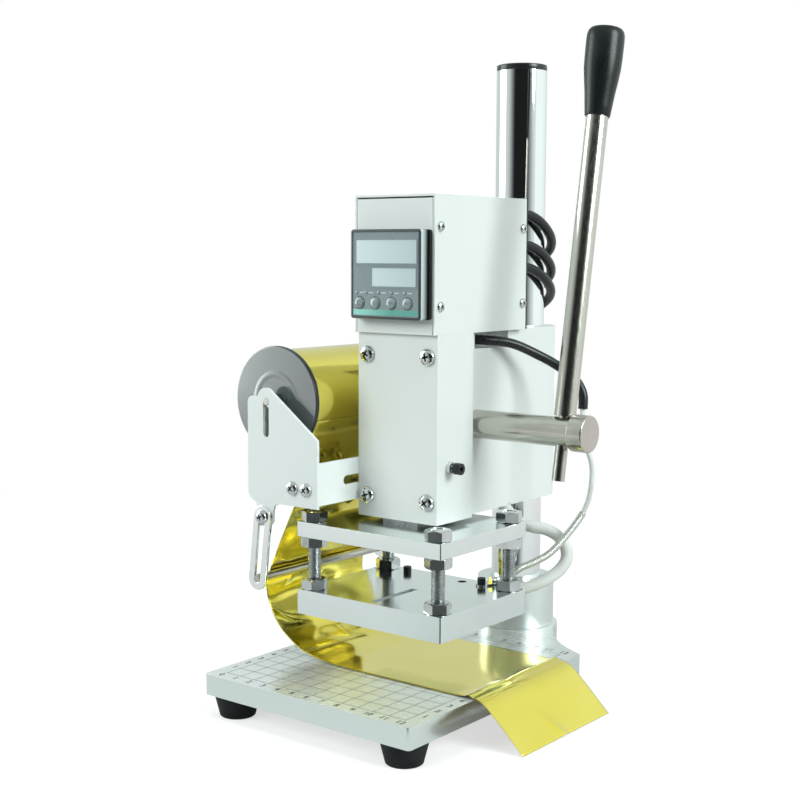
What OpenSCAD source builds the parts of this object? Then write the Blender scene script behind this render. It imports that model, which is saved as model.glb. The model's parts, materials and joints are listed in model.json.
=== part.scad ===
// Manual hot foil stamping press: a work table with a column, a head clamped on the column, a lever
// that drives a rack, two plates on studs, a foil roll at the left and a temperature controller.
// Millimetres. The origin is the middle of the table's top face, +X is to the operator's right,
// +Y is to the back and +Z is up.

/* [Table] */
// Width of the table plate
table_w = 140; // [125:1:170]
// Depth of the table plate
table_d = 160; // [150:1:175]
// Thickness of the table plate
table_t = 11.5; // [10.5:0.5:16]
// Radius of the table's upright corners
table_corner = 2; // [1:0.5:5]
// Radius of the hollow flares between the table and the column
flare_r = 80; // [60:1:120]
// Distance of each foot's centre from the table's edges
foot_inset = 12.5; // [12.5:0.5:20]
// Height of the rubber feet
foot_h = 12; // [10:0.5:25]
// Radius of a foot at its top
foot_top_r = 12.5; // [11:0.5:12.5]
// Radius of a foot at its bottom
foot_bottom_r = 9.5; // [8:0.5:11]

/* [Column] */
// Distance of the column's axis behind the table's middle
column_y = 118; // [114:1:124]
// Outside diameter of the column
column_d = 30; // [26:0.5:32]
// Wall of the column's tube
column_wall = 3; // [2:0.5:5]
// Height of the column's top above the table
column_top = 335; // [300:1:400]
// Height of the plug that shows above the column
cap_h = 3.5; // [2:0.5:8]
// Outside diameter of the column's seat
seat_d = 47; // [47:0.5:50]
// Height of the column's seat
seat_h = 29; // [20:1:40]
// Width of the table's rim round the seat
seat_rim = 2.5; // [1:0.5:5]

/* [Head] */
// Height of the head's underside above the table
head_z = 81; // [80.5:0.5:90]
// Height of the head casting
head_h = 102.5; // [100:0.5:110]
// Width of the ram housing at the front
housing_w = 54.5; // [53:0.5:58]
// Depth of the ram housing, without its cover
housing_d = 30; // [28:0.5:34]
// Thickness of the front cover
cover_t = 3; // [2:0.5:4]
// Width of the neck behind the housing
neck_w = 44; // [42:0.5:46]
// Depth of the cable pocket in the neck's right side
pocket_d = 14; // [10:1:18]
// Width of the cable pocket
pocket_w = 33; // [30:1:36]
// Height of the cable pocket
pocket_h = 9.5; // [8.5:0.5:14]

/* [Ram and plates] */
// Width of the ram
ram_w = 24; // [20:1:26]
// Thickness of the gib strip beside the ram
gib_t = 3; // [2:0.5:4]
// Running clearance round the ram
ram_gap = 0.05; // [0.03:0.01:0.1]
// Width of both plates
plate_w = 100; // [98:1:110]
// Depth of both plates
plate_d = 80; // [76:1:84]
// Place of the plates' front edge
plate_y = -28; // [-30:1:-24]
// Thickness of the upper plate
upper_t = 8.5; // [8:0.5:12]
// Gap between the head and the upper plate at rest
ram_lift = 2.7; // [2:0.1:4]
// Thickness of the heated lower plate
heater_t = 13.8; // [12.5:0.1:16]
// Height of the lower plate's underside above the table at rest
daylight = 26.1; // [24:0.1:28]
// Diameter of the four studs
stud_d = 7.6; // [6:0.1:8]
// Distance of each stud from the plates' edges
stud_inset = 7; // [7:0.5:9]
// Diameter of the heater cartridges
cartridge_d = 10; // [9.5:0.1:10]
// Length of the heater cartridges
cartridge_l = 66; // [50:1:72]

/* [Lever] */
// Module of the pinion and its rack
tooth_module = 1.5; // [1.4:0.05:1.6]
// Number of teeth on the pinion
teeth = 14; // [14:1:15]
// Thinning of each tooth flank, which gives the mesh its play
tooth_play = 0.12; // [0.08:0.01:0.2]
// Width of the pinion
pinion_w = 20; // [14:1:22]
// Height of the lever shaft above the table
shaft_z = 132; // [128:1:136]
// Diameter of the lever shaft outside the head
shaft_d = 16; // [14:0.5:18]
// Diameter of the lever shaft under the pinion
journal_d = 11; // [8:0.5:12]
// Reach of the lever shaft, from the middle of the head
shaft_reach = 85; // [84:0.5:95]
// Diameter of the collar on the shaft's end
collar_d = 20; // [18:0.5:24]
// Width of the collar
collar_w = 9.7; // [6:0.1:14]
// Distance of the lever from the middle of the head
lever_x = 79; // [78:0.5:79]
// Lean of the lever to the back at rest
lever_lean = 10; // [5:0.5:14]
// Diameter of the lever rod
lever_d = 12; // [10:0.5:12.5]
// Diameter of the rod's end that passes through the shaft
lever_tang_d = 7; // [5:0.5:8]
// Length of the lever from the shaft's axis to the top of the grip
lever_l = 219; // [190:1:260]
// Length of the rod's end below the shaft's axis
lever_tail = 26.5; // [14:0.5:30]
// Diameter of the grip
grip_d = 20; // [17:0.5:24]
// Length of the grip
grip_l = 48; // [40:1:80]

/* [Foil holder] */
// Width of the foil
foil_w = 86; // [80:1:90]
// Place of the foil's front edge
foil_y = -26; // [-27:0.5:-24]
// Thickness of the foil web as it is modelled
foil_t = 0.3; // [0.2:0.05:0.5]
// Outside diameter of the wound foil
roll_d = 56; // [40:1:57]
// Diameter of the roll's flanges
flange_d = 60.5; // [58:0.5:62]
// Thickness of a flange
flange_t = 3; // [2:0.5:4]
// Outside diameter of the roll's core
core_d = 30; // [26:1:36]
// Wall of the roll's core
core_wall = 2.4; // [1.5:0.1:4]
// Diameter of the roll's spindle
spindle_d = 4; // [3:0.5:5]
// Place of the roll's axis to the left of the head's middle
roll_x = 64.5; // [63:0.5:66]
// Height of the roll's axis above the table
roll_z = 145; // [143:0.5:148]
// Thickness of the holder's sheet metal
sheet_t = 1.6; // [1.2:0.1:2]
// Gap between a flange and the holder's plate
flange_gap = 6.4; // [6:0.1:8]
// Diameter of the guide rod
guide_d = 5; // [4.5:0.5:6]
// Place of the guide rod to the left of the head's middle
guide_x = 70.3; // [69:0.1:72]
// Height of the guide rod above the table
guide_z = 44.5; // [43:0.5:48]

/* [Control box] */
// Depth of the control box
box_d = 89; // [86:0.5:92]
// Height of the control box
box_h = 74.4; // [73:0.1:85]
// Overhang of the control box in front of the head's cover
box_nose = 3; // [2:0.5:5]
// Thickness of the control box's sheet metal
box_t = 1.2; // [1:0.1:1.6]
// Width and height of the controller's bezel
bezel_w = 48; // [47.5:0.1:49]
// Depth of the controller's bezel in front of the panel
bezel_d = 8; // [6:0.5:10]
// Height of the controller's middle above the floor of the box
bezel_z = 32; // [31:0.5:36]
// Diameter of a controller button
button_d = 6; // [4:0.2:6.4]
// Distance between the buttons
button_pitch = 10.9; // [10:0.1:11.2]
// Travel of a button
button_travel = 1; // [0.5:0.1:1.5]

/* [Leads] */
// Diameter of the three black leads behind the box
lead_d = 5.7; // [4:0.1:6]
// Diameter of the white heater lead
heater_lead_d = 7; // [6:0.1:7]
// Diameter of the wire between the cartridges
jumper_d = 2.4; // [1.6:0.1:2.4]
// Diameter of the sensor's black cable
sensor_cable_d = 5.5; // [4.5:0.1:6]
// Diameter of the sensor's thin lead
sensor_lead_d = 3; // [2.5:0.1:3.5]
// Diameter of the sensor's metal braid
braid_d = 4; // [3.5:0.1:4.4]

/* [Return spring] */
// Diameter of the spring's wire
spring_wire = 1.4; // [1:0.1:1.6]
// Mean diameter of the spring's curls
spring_d = 10; // [8:0.1:10.4]
// Number of curls
spring_curls = 10; // [7:1:14]

/* [Hidden] */
$fn = 48;
// Overlap that lets a cut pass cleanly through a face
cut = 1;
// Radial clearance of a running or seated round fit
fit = 0.05;
// Gap between touching curved faces of pieces that move apart
clear = 0.3;

// Fasteners: shank radius, head radius and head height
m3 = [1.5, 2.9, 1.7];
m4 = [2, 3.9, 2.4];
m5 = [2.5, 4.75, 2.7];
socket_af = 4;
m5_cap = [4.25, 5, socket_af];
m8_r = 4;
m8_head = [7.5, 5.3];
nut_h = 6;
nut_r = 7.5;

// Table and column
table_x = table_w / 2;
table_y = table_d / 2;
foot_x = table_x - foot_inset;
foot_y = table_y - foot_inset;
foot_recess_r = 5.5;
screw_grip = 6;
screw_l = 15;
column_r = column_d / 2;
bore_r = column_r + fit;
seat_r = seat_d / 2;
rim_r = seat_r + seat_rim;
seat_bolt_r = (bore_r + seat_r) / 2;
flare_angle = 20;
flare_a = [table_x - table_corner, table_y];
flare_b = [rim_r * cos(flare_angle), column_y + rim_r * sin(flare_angle)];
flare_mid = (flare_a + flare_b) / 2;
flare_half = norm(flare_a - flare_b) / 2;
flare_out = [flare_b.y - flare_a.y, flare_a.x - flare_b.x] / (2 * flare_half);
flare_c = flare_mid + flare_out * sqrt(flare_r * flare_r - flare_half * flare_half);
cap_skirt = 12;

// Head
head_top = head_z + head_h;
cover_y = -1.5;
housing_y = cover_y + cover_t;
housing_back = housing_y + housing_d;
housing_x = housing_w / 2;
neck_x = neck_w / 2;
boss_r = neck_x;
cover_screw_x = housing_x - 6.6;
cover_screw_z = 11.9;
clamp_pad_r = 7;
clamp_pad_y = column_y + boss_r + 3;
clamp_drop = 24;
pocket_y = 40;
pocket_z = head_top - pocket_h;

// Rack and pinion
pitch_r = tooth_module * teeth / 2;
pressure = 20;
base_r = pitch_r * cos(pressure);
tip_r = pitch_r + tooth_module;
root_r = pitch_r - 1.25 * tooth_module;
rack_tip = 0.8 * tooth_module;
rack_root = 1.25 * tooth_module;
rack_pitch = PI * tooth_module;
rack_teeth = 11;
rack_y = housing_back;
shaft_y = rack_y + pitch_r;
shaft_r = shaft_d / 2;
journal_r = journal_d / 2;
cavity_r = tip_r + 0.7;
cavity_x = 13;
clip_x = -neck_x - 2;
clip_t = 1;
shaft_left = clip_x - 1.6;
clip_groove = 0.4;
collar_gap = 0.8;
spigot_r = 4;
spigot_l = 6;
key_w = 4;
key_sink = 2.2;
key_rise = 1.4;

// Ram and plates
ram_x = ram_w / 2;
ram_y = housing_y + 2 * ram_gap;
ram_back = rack_y - rack_root;
ram_bottom = head_z - ram_lift;
ram_top = head_top - 11.5;
channel_right = ram_x + gib_t + 2 * ram_gap;
channel_back = rack_y + rack_tip + clear;
gib_y = [housing_y + 1.5, rack_y - 4];
gib_z = [head_z + 2, head_top - 5];
gib_screw_y = housing_y + 8.2;
gib_screw_z = head_z + 30.3;
gib_head = [3.2, 4.4, 2.5];
gib_nut_r = 3.7;
gib_nut_t = 2.6;
gib_reach = 8.4;
plate_x = plate_w / 2;
plate_back = plate_y + plate_d;
upper_z = ram_bottom - upper_t;
heater_top = daylight + heater_t;
stud_x = plate_x - stud_inset;
stud_y = [plate_y + stud_inset, plate_back - stud_inset];
stud_r = stud_d / 2;
stud_foot = heater_top - 9;
stud_top = ram_bottom + nut_h - 0.2;
ram_bolt_x = ram_x - 4.5;
ram_bolt_y = ram_back - 4.6;
ram_bolt_l = 16;
cartridge_r = cartridge_d / 2;
cartridge_x = [-0.265 * plate_w, 0.265 * plate_w];
cartridge_z = daylight + heater_t / 2;
plate_screw_y = plate_back - 9.4;
cap_head = [2.35, 3.6, 2];
lug_t = 1;
lug_r = 3.4;
lug_turn = 60;
lug_l = 9.6;
barrel_r = braid_d / 2 + 0.2;
lug_end = [cartridge_x[1] + lug_l * cos(lug_turn), plate_screw_y + lug_l * sin(lug_turn),
    heater_top + barrel_r];
groove_w = 4;
groove_y = [-24, 13];
spare_hole = [12, plate_back - 8];

// Lever and grip, along the lever's own axis
lever_foot = shaft_r + 0.4;
grip_bore = 34;
grip_neck_r = 6.9;
grip_round = 4;

// Foil holder
roll_r = roll_d / 2;
flange_r = flange_d / 2;
spindle_r = spindle_d / 2;
guide_r = guide_d / 2;
foil_back = foil_y + foil_w;
front_y = foil_y - flange_t - flange_gap;
rear_y = foil_back + flange_t + flange_gap;
plate_left = -roll_x - 14;
plate_right = -housing_x + 0.75;
holder_z = head_z + 7.5;
slot_drop = 18;
ear_r = 6.5;
cross_z = [holder_z + 1.5, holder_z + 25];
cross_x = -housing_x - fit;
tab_x = -50;
tab_screw_x = [-44.6, -34.7];
tab_screw_z = holder_z + 10;
slot_z = holder_z + 13.25;
slot_y = [-11.7, 25.4];
cross_screw_y = [6, 22];
link_top = [-roll_x - 1.5, holder_z - 8.2];
link_foot = [-guide_x, guide_z];
link_length = norm(link_foot - link_top);
link_turn = atan2(link_foot.y - link_top.y, link_foot.x - link_top.x);
link_r = 6.4;
link_t = 2;
core_r = core_d / 2;
hub_l = 14;

// Control box
box_z = head_top;
box_y = cover_y - box_nose;
box_back = box_y + box_d;
box_top = box_z + box_h;
box_x = housing_x;
panel_x = box_x - box_t - fit;
panel_top = box_top - box_t - fit;
tab_l = 9;
box_screw_y = [box_y + 5, box_back - 5];
box_screw_z = [box_z + 15, box_top - 17];
case_w = bezel_w - 3;
case_l = 62;
bezel_mid = box_z + bezel_z;
bezel_y = box_y - bezel_d;
bezel_top = bezel_mid + bezel_w / 2;
// Windows on the bezel's face from its middle: left, right, bottom and top
windows = [[-20.4, 21.4, 5.6, 18.7], [-9.4, 21, -6.7, 3.7]];
window_t = 1;
window_sink = 0.3;
button_mid = -1.3;
button_z = bezel_mid - 15.4;
button_out = 0.7;
button_in = 2.5;
inlet_x = -9;
inlet_z = box_z + 22;
inlet_w = 27;
inlet_h = 20;
inlet_rim = 2;
socket_wall = 2;
socket_d = 14;

// Leads: anchors at the ends, and points chosen along each route at the default sizes
loop_exit_x = 15;
loop_exit_z = [box_z + 67, box_z + 49, box_z + 36];
loop_end_y = 80;
loop_end_z = [head_top - 13.5, head_top - 25.5, head_top - 37.5];
gland_t = 3;
gland_r = 4.6;
gland_neck = 3.6;
gland_depth = 8;
loop_plan = [[15, 87.5], [15.6, 93], [17.8, 101], [19.6, 109.5], [19.6, 118], [17.3, 126], [12.4, 132.7],
    [4.4, 137.4], [-5.8, 139.9], [-17.4, 137.4], [-26.2, 129.1], [-30.5, 118], [-33.5, 105], [-35.5, 94],
    [-33.5, 85], [-25, 80]];
// Share of the drop from the box to the head that each point has taken
loop_share = [0, 0, 0.015, 0.06, 0.125, 0.19, 0.255, 0.32, 0.385, 0.46, 0.555, 0.67, 0.8, 0.93, 1, 1];
pocket_wall = neck_x - pocket_d;
sensor_join = [62.5, 90, head_top - 44.5];
sensor_way = unit([0, -1, -8]);
braid_join = [63.8, 90, head_top - 104.3];
braid_way = unit([-3, -4, -9]);
sensor_cable_points = [[8, 46, 178.5], [16, 49, 178.5], [22, 54, 178], [30, 66, 176], [38, 78, 170],
    [47, 86, 163.5], [56, 90, 156.5], [61.5, 91, 148], [62.5, 90, 139]];
sensor_lead_points = [[62.5, 90, 139], [63, 89, 130], [66, 89, 118], [69, 90, 107.5], [69, 90, 97],
    [66.8, 90.5, 87], [63.8, 90, 79.2]];
sensor_braid_points = [[63.8, 90, 79.2], [60, 83.5, 70], [53.5, 73, 58], [47, 65.5, 52.5], [41, 60, 49],
    [36, 57.5, 44.8], [31.3, 50.9, 42.1]];
heater_lead_points = [[9, 74.7, 90], [18, 76, 81], [23, 76.8, 75.5], [29, 77.6, 71.5], [37, 78.5, 69.5],
    [43, 82.5, 68.4], [49.5, 85.5, 65], [54.8, 86.2, 59], [56.5, 84.5, 52], [54.5, 79.5, 46],
    [50, 72, 41], [43, 65, 37.5], [35.5, 60, 34.8], [29.5, 56.5, 33.3], [27.9, 52, 33]];
heater_way = unit([9, 1.3, -9]);
heater_start = [9, 74.7, head_z + 9];
heater_side = 1.4;
jumper_side = -3.7;
jumper_points = [[-26.5, 52, 33], [-26, 58, 33], [-20, 63, 33], [0, 64, 33], [16, 63, 33], [22, 58, 33],
    [22.8, 52, 33]];

// Return spring: it stands on a pin fixed in the head and pushes the top of a bore in the ram
stroke = 18.4;
spring_y = housing_y + 12.5;
spring_r = spring_d / 2;
spring_bore_r = spring_r + spring_wire / 2 + 0.6;
spring_pin_r = 2.5;
spring_pin_z = head_z + 31;
spring_roof = ram_top - 7;
spring_z = [spring_pin_z + spring_pin_r + spring_wire / 2 + 0.1, spring_roof - spring_wire / 2 - 0.1];
curl_rings = 8;
spring_points = [for (i = [0 : spring_curls * curl_rings])
    let (turn = i / curl_rings)
    [spring_r * cos(360 * turn), spring_y + spring_r * sin(360 * turn),
        spring_z[0] + (spring_z[1] - spring_z[0]) * turn / spring_curls]];
// Least gap between points of the wire that are half a curl or more apart
spring_last = len(spring_points) - 1;
spring_gap = min([for (i = [0 : spring_last], j = [i + curl_rings / 2 : 1 : spring_last])
    norm(spring_points[i] - spring_points[j])]) - spring_wire;
echo(spring_least_gap = spring_gap);

// Path of the foil: tangent to the roll's right side and to the guide rod's left side
roll_c = [-roll_x, roll_z];
guide_c = [-guide_x, guide_z];
roll_path_r = roll_r + clear + foil_t / 2;
guide_path_r = guide_r + clear + foil_t / 2;
span = guide_c - roll_c;
span_l = norm(span);
web_turn = atan2(span.y, span.x) - asin((roll_path_r + guide_path_r) / span_l);
web_side = [-sin(web_turn), cos(web_turn)];
web_top = roll_c + roll_path_r * web_side;
web_turnover = guide_c - guide_path_r * web_side;
web_lie = 0.4;
web_points = [web_top, web_turnover, [-75.6, 37.5], [-74.5, 30], [-68.5, 19], [-58.5, 9.8], [-45, 3.7],
    [-30, 1.2], [-16, web_lie], [20, web_lie], [table_x - 14, web_lie], [table_x - 3, 1.2],
    [table_x + 5, -0.6], [table_x + 14, -8], [table_x + 30, -foot_h - table_t + 0.5]];

// Vector helpers
function unit(v) = v / norm(v);
// Direction of a route at a point; its two ends can be given theirs
function heading(p, i, from, to) = i == 0 && !is_undef(from) ? from :
    i == len(p) - 1 && !is_undef(to) ? to :
    unit(p[min(i + 1, len(p) - 1)] - p[max(i - 1, 0)]);
function across(v) = unit(abs(v.z) < 0.9 ? cross(v, [0, 0, 1]) : cross(v, [1, 0, 0]));
function carried(n, v) = unit(n - (n * v) * v);
// Side vectors along a route, each carried on from the one before without twist
function sides(p, from, to, i = 0, last = undef) =
    let (v = heading(p, i, from, to), n = is_undef(last) ? across(v) : carried(last, v))
    i == len(p) - 1 ? [n] : concat([n], sides(p, from, to, i + 1, n));
// A route moved so that its ends lie on two anchors
function anchored(p, a, b) = let (n = len(p) - 1)
    [for (i = [0 : n]) p[i] + (a - p[0]) * (1 - i / n) + (b - p[n]) * i / n];
// Smooth curve through points in a plane, with a few steps in each stretch
function curve(p, steps) = concat([for (i = [0 : len(p) - 2], k = [0 : steps - 1])
    let (t = k / steps, a = p[max(i - 1, 0)], b = p[i], c = p[i + 1], d = p[min(i + 2, len(p) - 1)])
    0.5 * (2 * b + (c - a) * t + (2 * a - 5 * b + 4 * c - d) * t * t + (3 * b - a - 3 * c + d) * t * t * t)],
    [p[len(p) - 1]]);

// Building blocks
module block(x, y, z) {
    translate([x[0], y[0], z[0]])
        cube([x[1] - x[0], y[1] - y[0], z[1] - z[0]]);
}
module rod_x(r, x, y, z) {
    translate([x[0], y, z])
        rotate([0, 90, 0])
            cylinder(r = r, h = x[1] - x[0]);
}
module rod_y(r, x, y, z) {
    translate([x, y[0], z])
        rotate([-90, 0, 0])
            cylinder(r = r, h = y[1] - y[0]);
}
module rod_z(r, x, y, z) {
    translate([x, y, z[0]])
        cylinder(r = r, h = z[1] - z[0]);
}
// A place whose +Z lies along a direction
module toward(place, way) {
    translate(place)
        rotate([0, acos(way.z), atan2(way.y, way.x)])
            children();
}
// A profile drawn in Y and Z, drawn out along X
module along_x(x) {
    translate([x[0], 0, 0])
        rotate([90, 0, 90])
            linear_extrude(x[1] - x[0])
                children();
}
// A profile drawn in X and Z, drawn out along Y
module along_y(y) {
    translate([0, y[1], 0])
        rotate([90, 0, 0])
            linear_extrude(y[1] - y[0])
                children();
}
module rounded(w, d, r) {
    square([w - 2 * r, d], center = true);
    square([w, d - 2 * r], center = true);
    for (x = [-1, 1], y = [-1, 1])
        translate([x * (w / 2 - r), y * (d / 2 - r)])
            circle(r);
}
// A straight slot between two points of a plane
module slot(a, b, r) {
    turn = atan2(b.y - a.y, b.x - a.x);
    translate(a)
        rotate(turn)
            translate([0, -r])
                square([norm(b - a), 2 * r]);
    translate(a)
        circle(r);
    translate(b)
        circle(r);
}
// A screw that points along -Z, with its head's underside at the origin
module screw(size, l) {
    difference() {
        union() {
            rod_z(size[0], 0, 0, [-l, 0]);
            rod_z(size[1], 0, 0, [0, size[2]]);
        }
        for (turn = [0, 90])
            rotate(turn)
                block([-size[1] * 0.6, size[1] * 0.6], [-size[1] * 0.12, size[1] * 0.12],
                    [size[2] * 0.45, size[2] + cut]);
    }
}
// A socket head screw that points along -Z
module cap_screw(r, head, l) {
    difference() {
        union() {
            rod_z(r, 0, 0, [-l, 0]);
            rod_z(head[0], 0, 0, [0, head[1]]);
        }
        translate([0, 0, head[1] * 0.45])
            cylinder(d = head[2] / cos(30), h = head[1], $fn = 6);
    }
}
// A round tube's outside, swept along a route as one closed surface
module tube(points, r, edges, from, to) {
    side = sides(points, from, to);
    last = len(points) - 1;
    rings = [for (i = [0 : last])
        let (v = heading(points, i, from, to), n = side[i], m = cross(v, n))
        for (k = [0 : edges - 1])
            points[i] + r * (cos(360 * k / edges) * n + sin(360 * k / edges) * m)];
    skin = [for (i = [0 : last - 1], k = [0 : edges - 1])
        let (a = i * edges + k, b = i * edges + (k + 1) % edges)
        each [[a, b + edges, b], [a, a + edges, b + edges]]];
    first_end = [for (k = [1 : edges - 2]) [0, k, k + 1]];
    last_end = [for (k = [1 : edges - 2]) [last * edges, last * edges + k + 1, last * edges + k]];
    polyhedron(points = rings, faces = concat(skin, first_end, last_end), convexity = 10);
}

// Table and column
module base_plate() {
    color("gainsboro")
        difference() {
            translate([0, 0, -table_t])
                linear_extrude(table_t) {
                    rounded(table_w, table_d, table_corner);
                    difference() {
                        polygon([flare_a, flare_b, [-flare_b.x, flare_b.y], [-flare_a.x, flare_a.y],
                            [-flare_a.x, flare_a.y - 2 * cut], [flare_a.x, flare_a.y - 2 * cut]]);
                        for (s = [-1, 1])
                            translate([s * flare_c.x, flare_c.y])
                                circle(flare_r, $fn = 180);
                    }
                    translate([0, column_y])
                        circle(rim_r);
                }
            for (x = [-foot_x, foot_x], y = [-foot_y, foot_y])
                rod_z(m5[0] + fit, x, y, [-table_t - cut, -table_t + screw_l - screw_grip + 0.5]);
            seat_places() {
                rod_z(m5[0] + fit, 0, 0, [-table_t - cut, cut]);
                rod_z(m5[1] + clear, 0, 0, [-table_t - cut, -screw_grip]);
            }
        }
}
module seat_places() {
    for (turn = [90, 210, 330])
        translate([seat_bolt_r * cos(turn), column_y + seat_bolt_r * sin(turn), 0])
            children();
}
module rubber_feet() {
    color("dimgray")
        for (x = [-foot_x, foot_x], y = [-foot_y, foot_y])
            difference() {
                translate([x, y, -table_t - foot_h])
                    cylinder(r1 = foot_bottom_r, r2 = foot_top_r, h = foot_h);
                rod_z(m5[0] + fit, x, y, [-table_t - foot_h, -table_t + cut]);
                rod_z(foot_recess_r, x, y, [-table_t - foot_h - cut, -table_t - screw_grip]);
            }
}
module base_screws() {
    color("silver") {
        for (x = [-foot_x, foot_x], y = [-foot_y, foot_y])
            translate([x, y, -table_t - screw_grip])
                rotate([180, 0, 0])
                    screw(m5, screw_l);
        seat_places()
            translate([0, 0, -screw_grip])
                rotate([180, 0, 0])
                    screw(m5, screw_l);
    }
}
module column_seat() {
    color("gainsboro")
        difference() {
            rod_z(seat_r, 0, column_y, [0, seat_h]);
            rod_z(bore_r, 0, column_y, [-cut, seat_h + cut]);
            seat_places()
                rod_z(m5[0] + fit, 0, 0, [-cut, screw_l - screw_grip + 0.5]);
        }
}
module column_tube() {
    color("silver")
        difference() {
            rod_z(column_r, 0, column_y, [0, column_top]);
            rod_z(column_r - column_wall, 0, column_y, [-cut, column_top + cut]);
        }
}
module column_cap() {
    color("black") {
        rod_z(column_r, 0, column_y, [column_top, column_top + cap_h]);
        rod_z(column_r - column_wall - fit, 0, column_y, [column_top - cap_skirt, column_top + cut]);
    }
}
module foil_web() {
    path = concat([web_top], curve([for (i = [1 : len(web_points) - 1]) web_points[i]], 4));
    last = len(path) - 1;
    way = [for (i = [0 : last]) unit(path[min(i + 1, last)] - path[max(i - 1, 0)])];
    upper = [for (i = [0 : last]) path[i] + foil_t / 2 * [-way[i].y, way[i].x]];
    lower = [for (i = [last : -1 : 0]) path[i] - foil_t / 2 * [-way[i].y, way[i].x]];
    color("gold")
        along_y([foil_y, foil_back])
            polygon(concat(upper, lower));
}

// Head casting and what is fixed in it
module head_body() {
    color("whitesmoke")
        difference() {
            union() {
                block([-housing_x, housing_x], [housing_y, housing_back], [head_z, head_top]);
                block([-neck_x, neck_x], [housing_back - cut, column_y], [head_z, head_top]);
                rod_z(boss_r, 0, column_y, [head_z, head_top]);
                for (z = [head_z + clamp_drop, head_top - clamp_drop])
                    rod_y(clamp_pad_r, 0, [column_y + bore_r + 2, clamp_pad_y], z);
            }
            rod_z(bore_r, 0, column_y, [0, head_top + cut]);
            for (z = [head_z + clamp_drop, head_top - clamp_drop])
                rod_y(m8_r + fit, 0, [column_y, clamp_pad_y + cut], z);
            block([-ram_x - ram_gap, channel_right], [housing_y - cut, channel_back],
                [head_z - cut, head_top + cut]);
            rod_x(cavity_r, [-cavity_x, cavity_x], shaft_y, shaft_z);
            rod_x(shaft_r + fit, [cavity_x - cut, neck_x + cut], shaft_y, shaft_z);
            rod_x(journal_r + fit, [-neck_x - cut, -cavity_x + cut], shaft_y, shaft_z);
            block([pocket_wall, neck_x + cut], [pocket_y, pocket_y + pocket_w], [pocket_z, head_top + cut]);
            toward(heater_start, heater_way)
                rod_z(heater_lead_d / 2 + clear, 0, 0, [0, 30]);
            for (z = loop_end_z)
                rod_x(gland_neck + fit, [-neck_x - cut, -neck_x + gland_depth], loop_end_y, z);
            cover_places()
                rod_y(m5[0] + fit, 0, [-cut, 13], 0);
            rod_x(m4[0] + fit, [channel_right - cut, housing_x + cut], gib_screw_y, gib_screw_z);
            for (y = cross_screw_y)
                rod_x(m4[0] + fit, [-housing_x - cut, -housing_x + 9], y, slot_z);
            rod_x(spring_pin_r + fit, [-housing_x - cut, -ram_x], spring_y, spring_pin_z);
        }
}
module cover_places() {
    for (x = [-cover_screw_x, cover_screw_x], z = [head_z + cover_screw_z, head_top - cover_screw_z])
        translate([x, housing_y, z])
            children();
}
module front_cover() {
    color("white")
        difference() {
            block([-housing_x, housing_x], [cover_y, housing_y], [head_z, head_top - fit]);
            cover_places()
                rod_y(m5[0] + fit, 0, [-cover_t - cut, cut], 0);
        }
}
module cover_screws() {
    color("silver")
        cover_places()
            translate([0, -cover_t, 0])
                rotate([90, 0, 0])
                    screw(m5, cover_t + 12);
}
module gib_strip() {
    color("darkgoldenrod")
        block([ram_x + ram_gap, channel_right - ram_gap], gib_y, gib_z);
}
// The gib's set screw with its lock nut
module gib_screws() {
    under_head = housing_x + gib_reach - gib_head[1];
    color("black")
        translate([under_head, gib_screw_y, gib_screw_z])
            rotate([0, 90, 0])
                cap_screw(m4[0], gib_head, under_head - channel_right + ram_gap);
    color("silver")
        translate([housing_x, gib_screw_y, gib_screw_z])
            rotate([0, 90, 0])
                difference() {
                    cylinder(r = gib_nut_r, h = gib_nut_t, $fn = 6);
                    rod_z(m4[0] + fit, 0, 0, [-cut, gib_nut_t + cut]);
                }
}
module clamp_bolts() {
    color("silver")
        for (z = [head_z + clamp_drop, head_top - clamp_drop]) {
            rod_y(m8_r, 0, [column_y + column_r + clear, clamp_pad_y + cut], z);
            translate([0, clamp_pad_y, z])
                rotate([-90, 0, 0])
                    cylinder(r = m8_head[0], h = m8_head[1], $fn = 6);
        }
}
module spring_pin() {
    color("silver")
        rod_x(spring_pin_r, [-housing_x + 0.5, ram_x - 0.5], spring_y, spring_pin_z);
}

// Control box
module box_chassis() {
    color("whitesmoke")
        difference() {
            union() {
                block([-panel_x, panel_x], [box_y, box_y + box_t], [box_z, panel_top]);
                block([-panel_x, panel_x], [box_y, box_back], [box_z, box_z + box_t]);
                block([-panel_x, panel_x], [box_back - box_t, box_back], [box_z, panel_top]);
                for (s = [-1, 1], z = box_screw_z)
                    scale([s, 1, 1]) {
                        block([panel_x - box_t, panel_x], [box_y, box_y + tab_l], [z - 4, z + 4]);
                        block([panel_x - box_t, panel_x], [box_back - tab_l, box_back], [z - 4, z + 4]);
                    }
            }
            block([-case_w / 2 - clear, case_w / 2 + clear], [box_y - cut, box_y + tab_l],
                [bezel_mid - case_w / 2 - clear, bezel_mid + case_w / 2 + clear]);
            inlet_block(0, [box_back - box_t - cut, box_back + cut]);
            for (z = loop_exit_z)
                rod_y(gland_neck + fit, loop_exit_x, [box_back - box_t - cut, box_back + cut], z);
            box_screw_places()
                rod_z(m3[0] + fit, 0, 0, [-box_t * 3, cut]);
        }
}
module box_screw_places() {
    for (s = [-1, 1], y = box_screw_y, z = box_screw_z)
        translate([s * box_x, y, z])
            rotate([0, s * 90, 0])
                children();
}
module box_cover() {
    color("white")
        difference() {
            block([-box_x, box_x], [box_y, box_back], [box_z, box_top]);
            block([-box_x + box_t, box_x - box_t], [box_y - cut, box_back + cut],
                [box_z - cut, box_top - box_t]);
            box_screw_places()
                rod_z(m3[0] + fit, 0, 0, [-box_t * 2, cut]);
        }
}
module box_screws() {
    color("silver")
        box_screw_places()
            screw(m3, 4);
}
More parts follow.
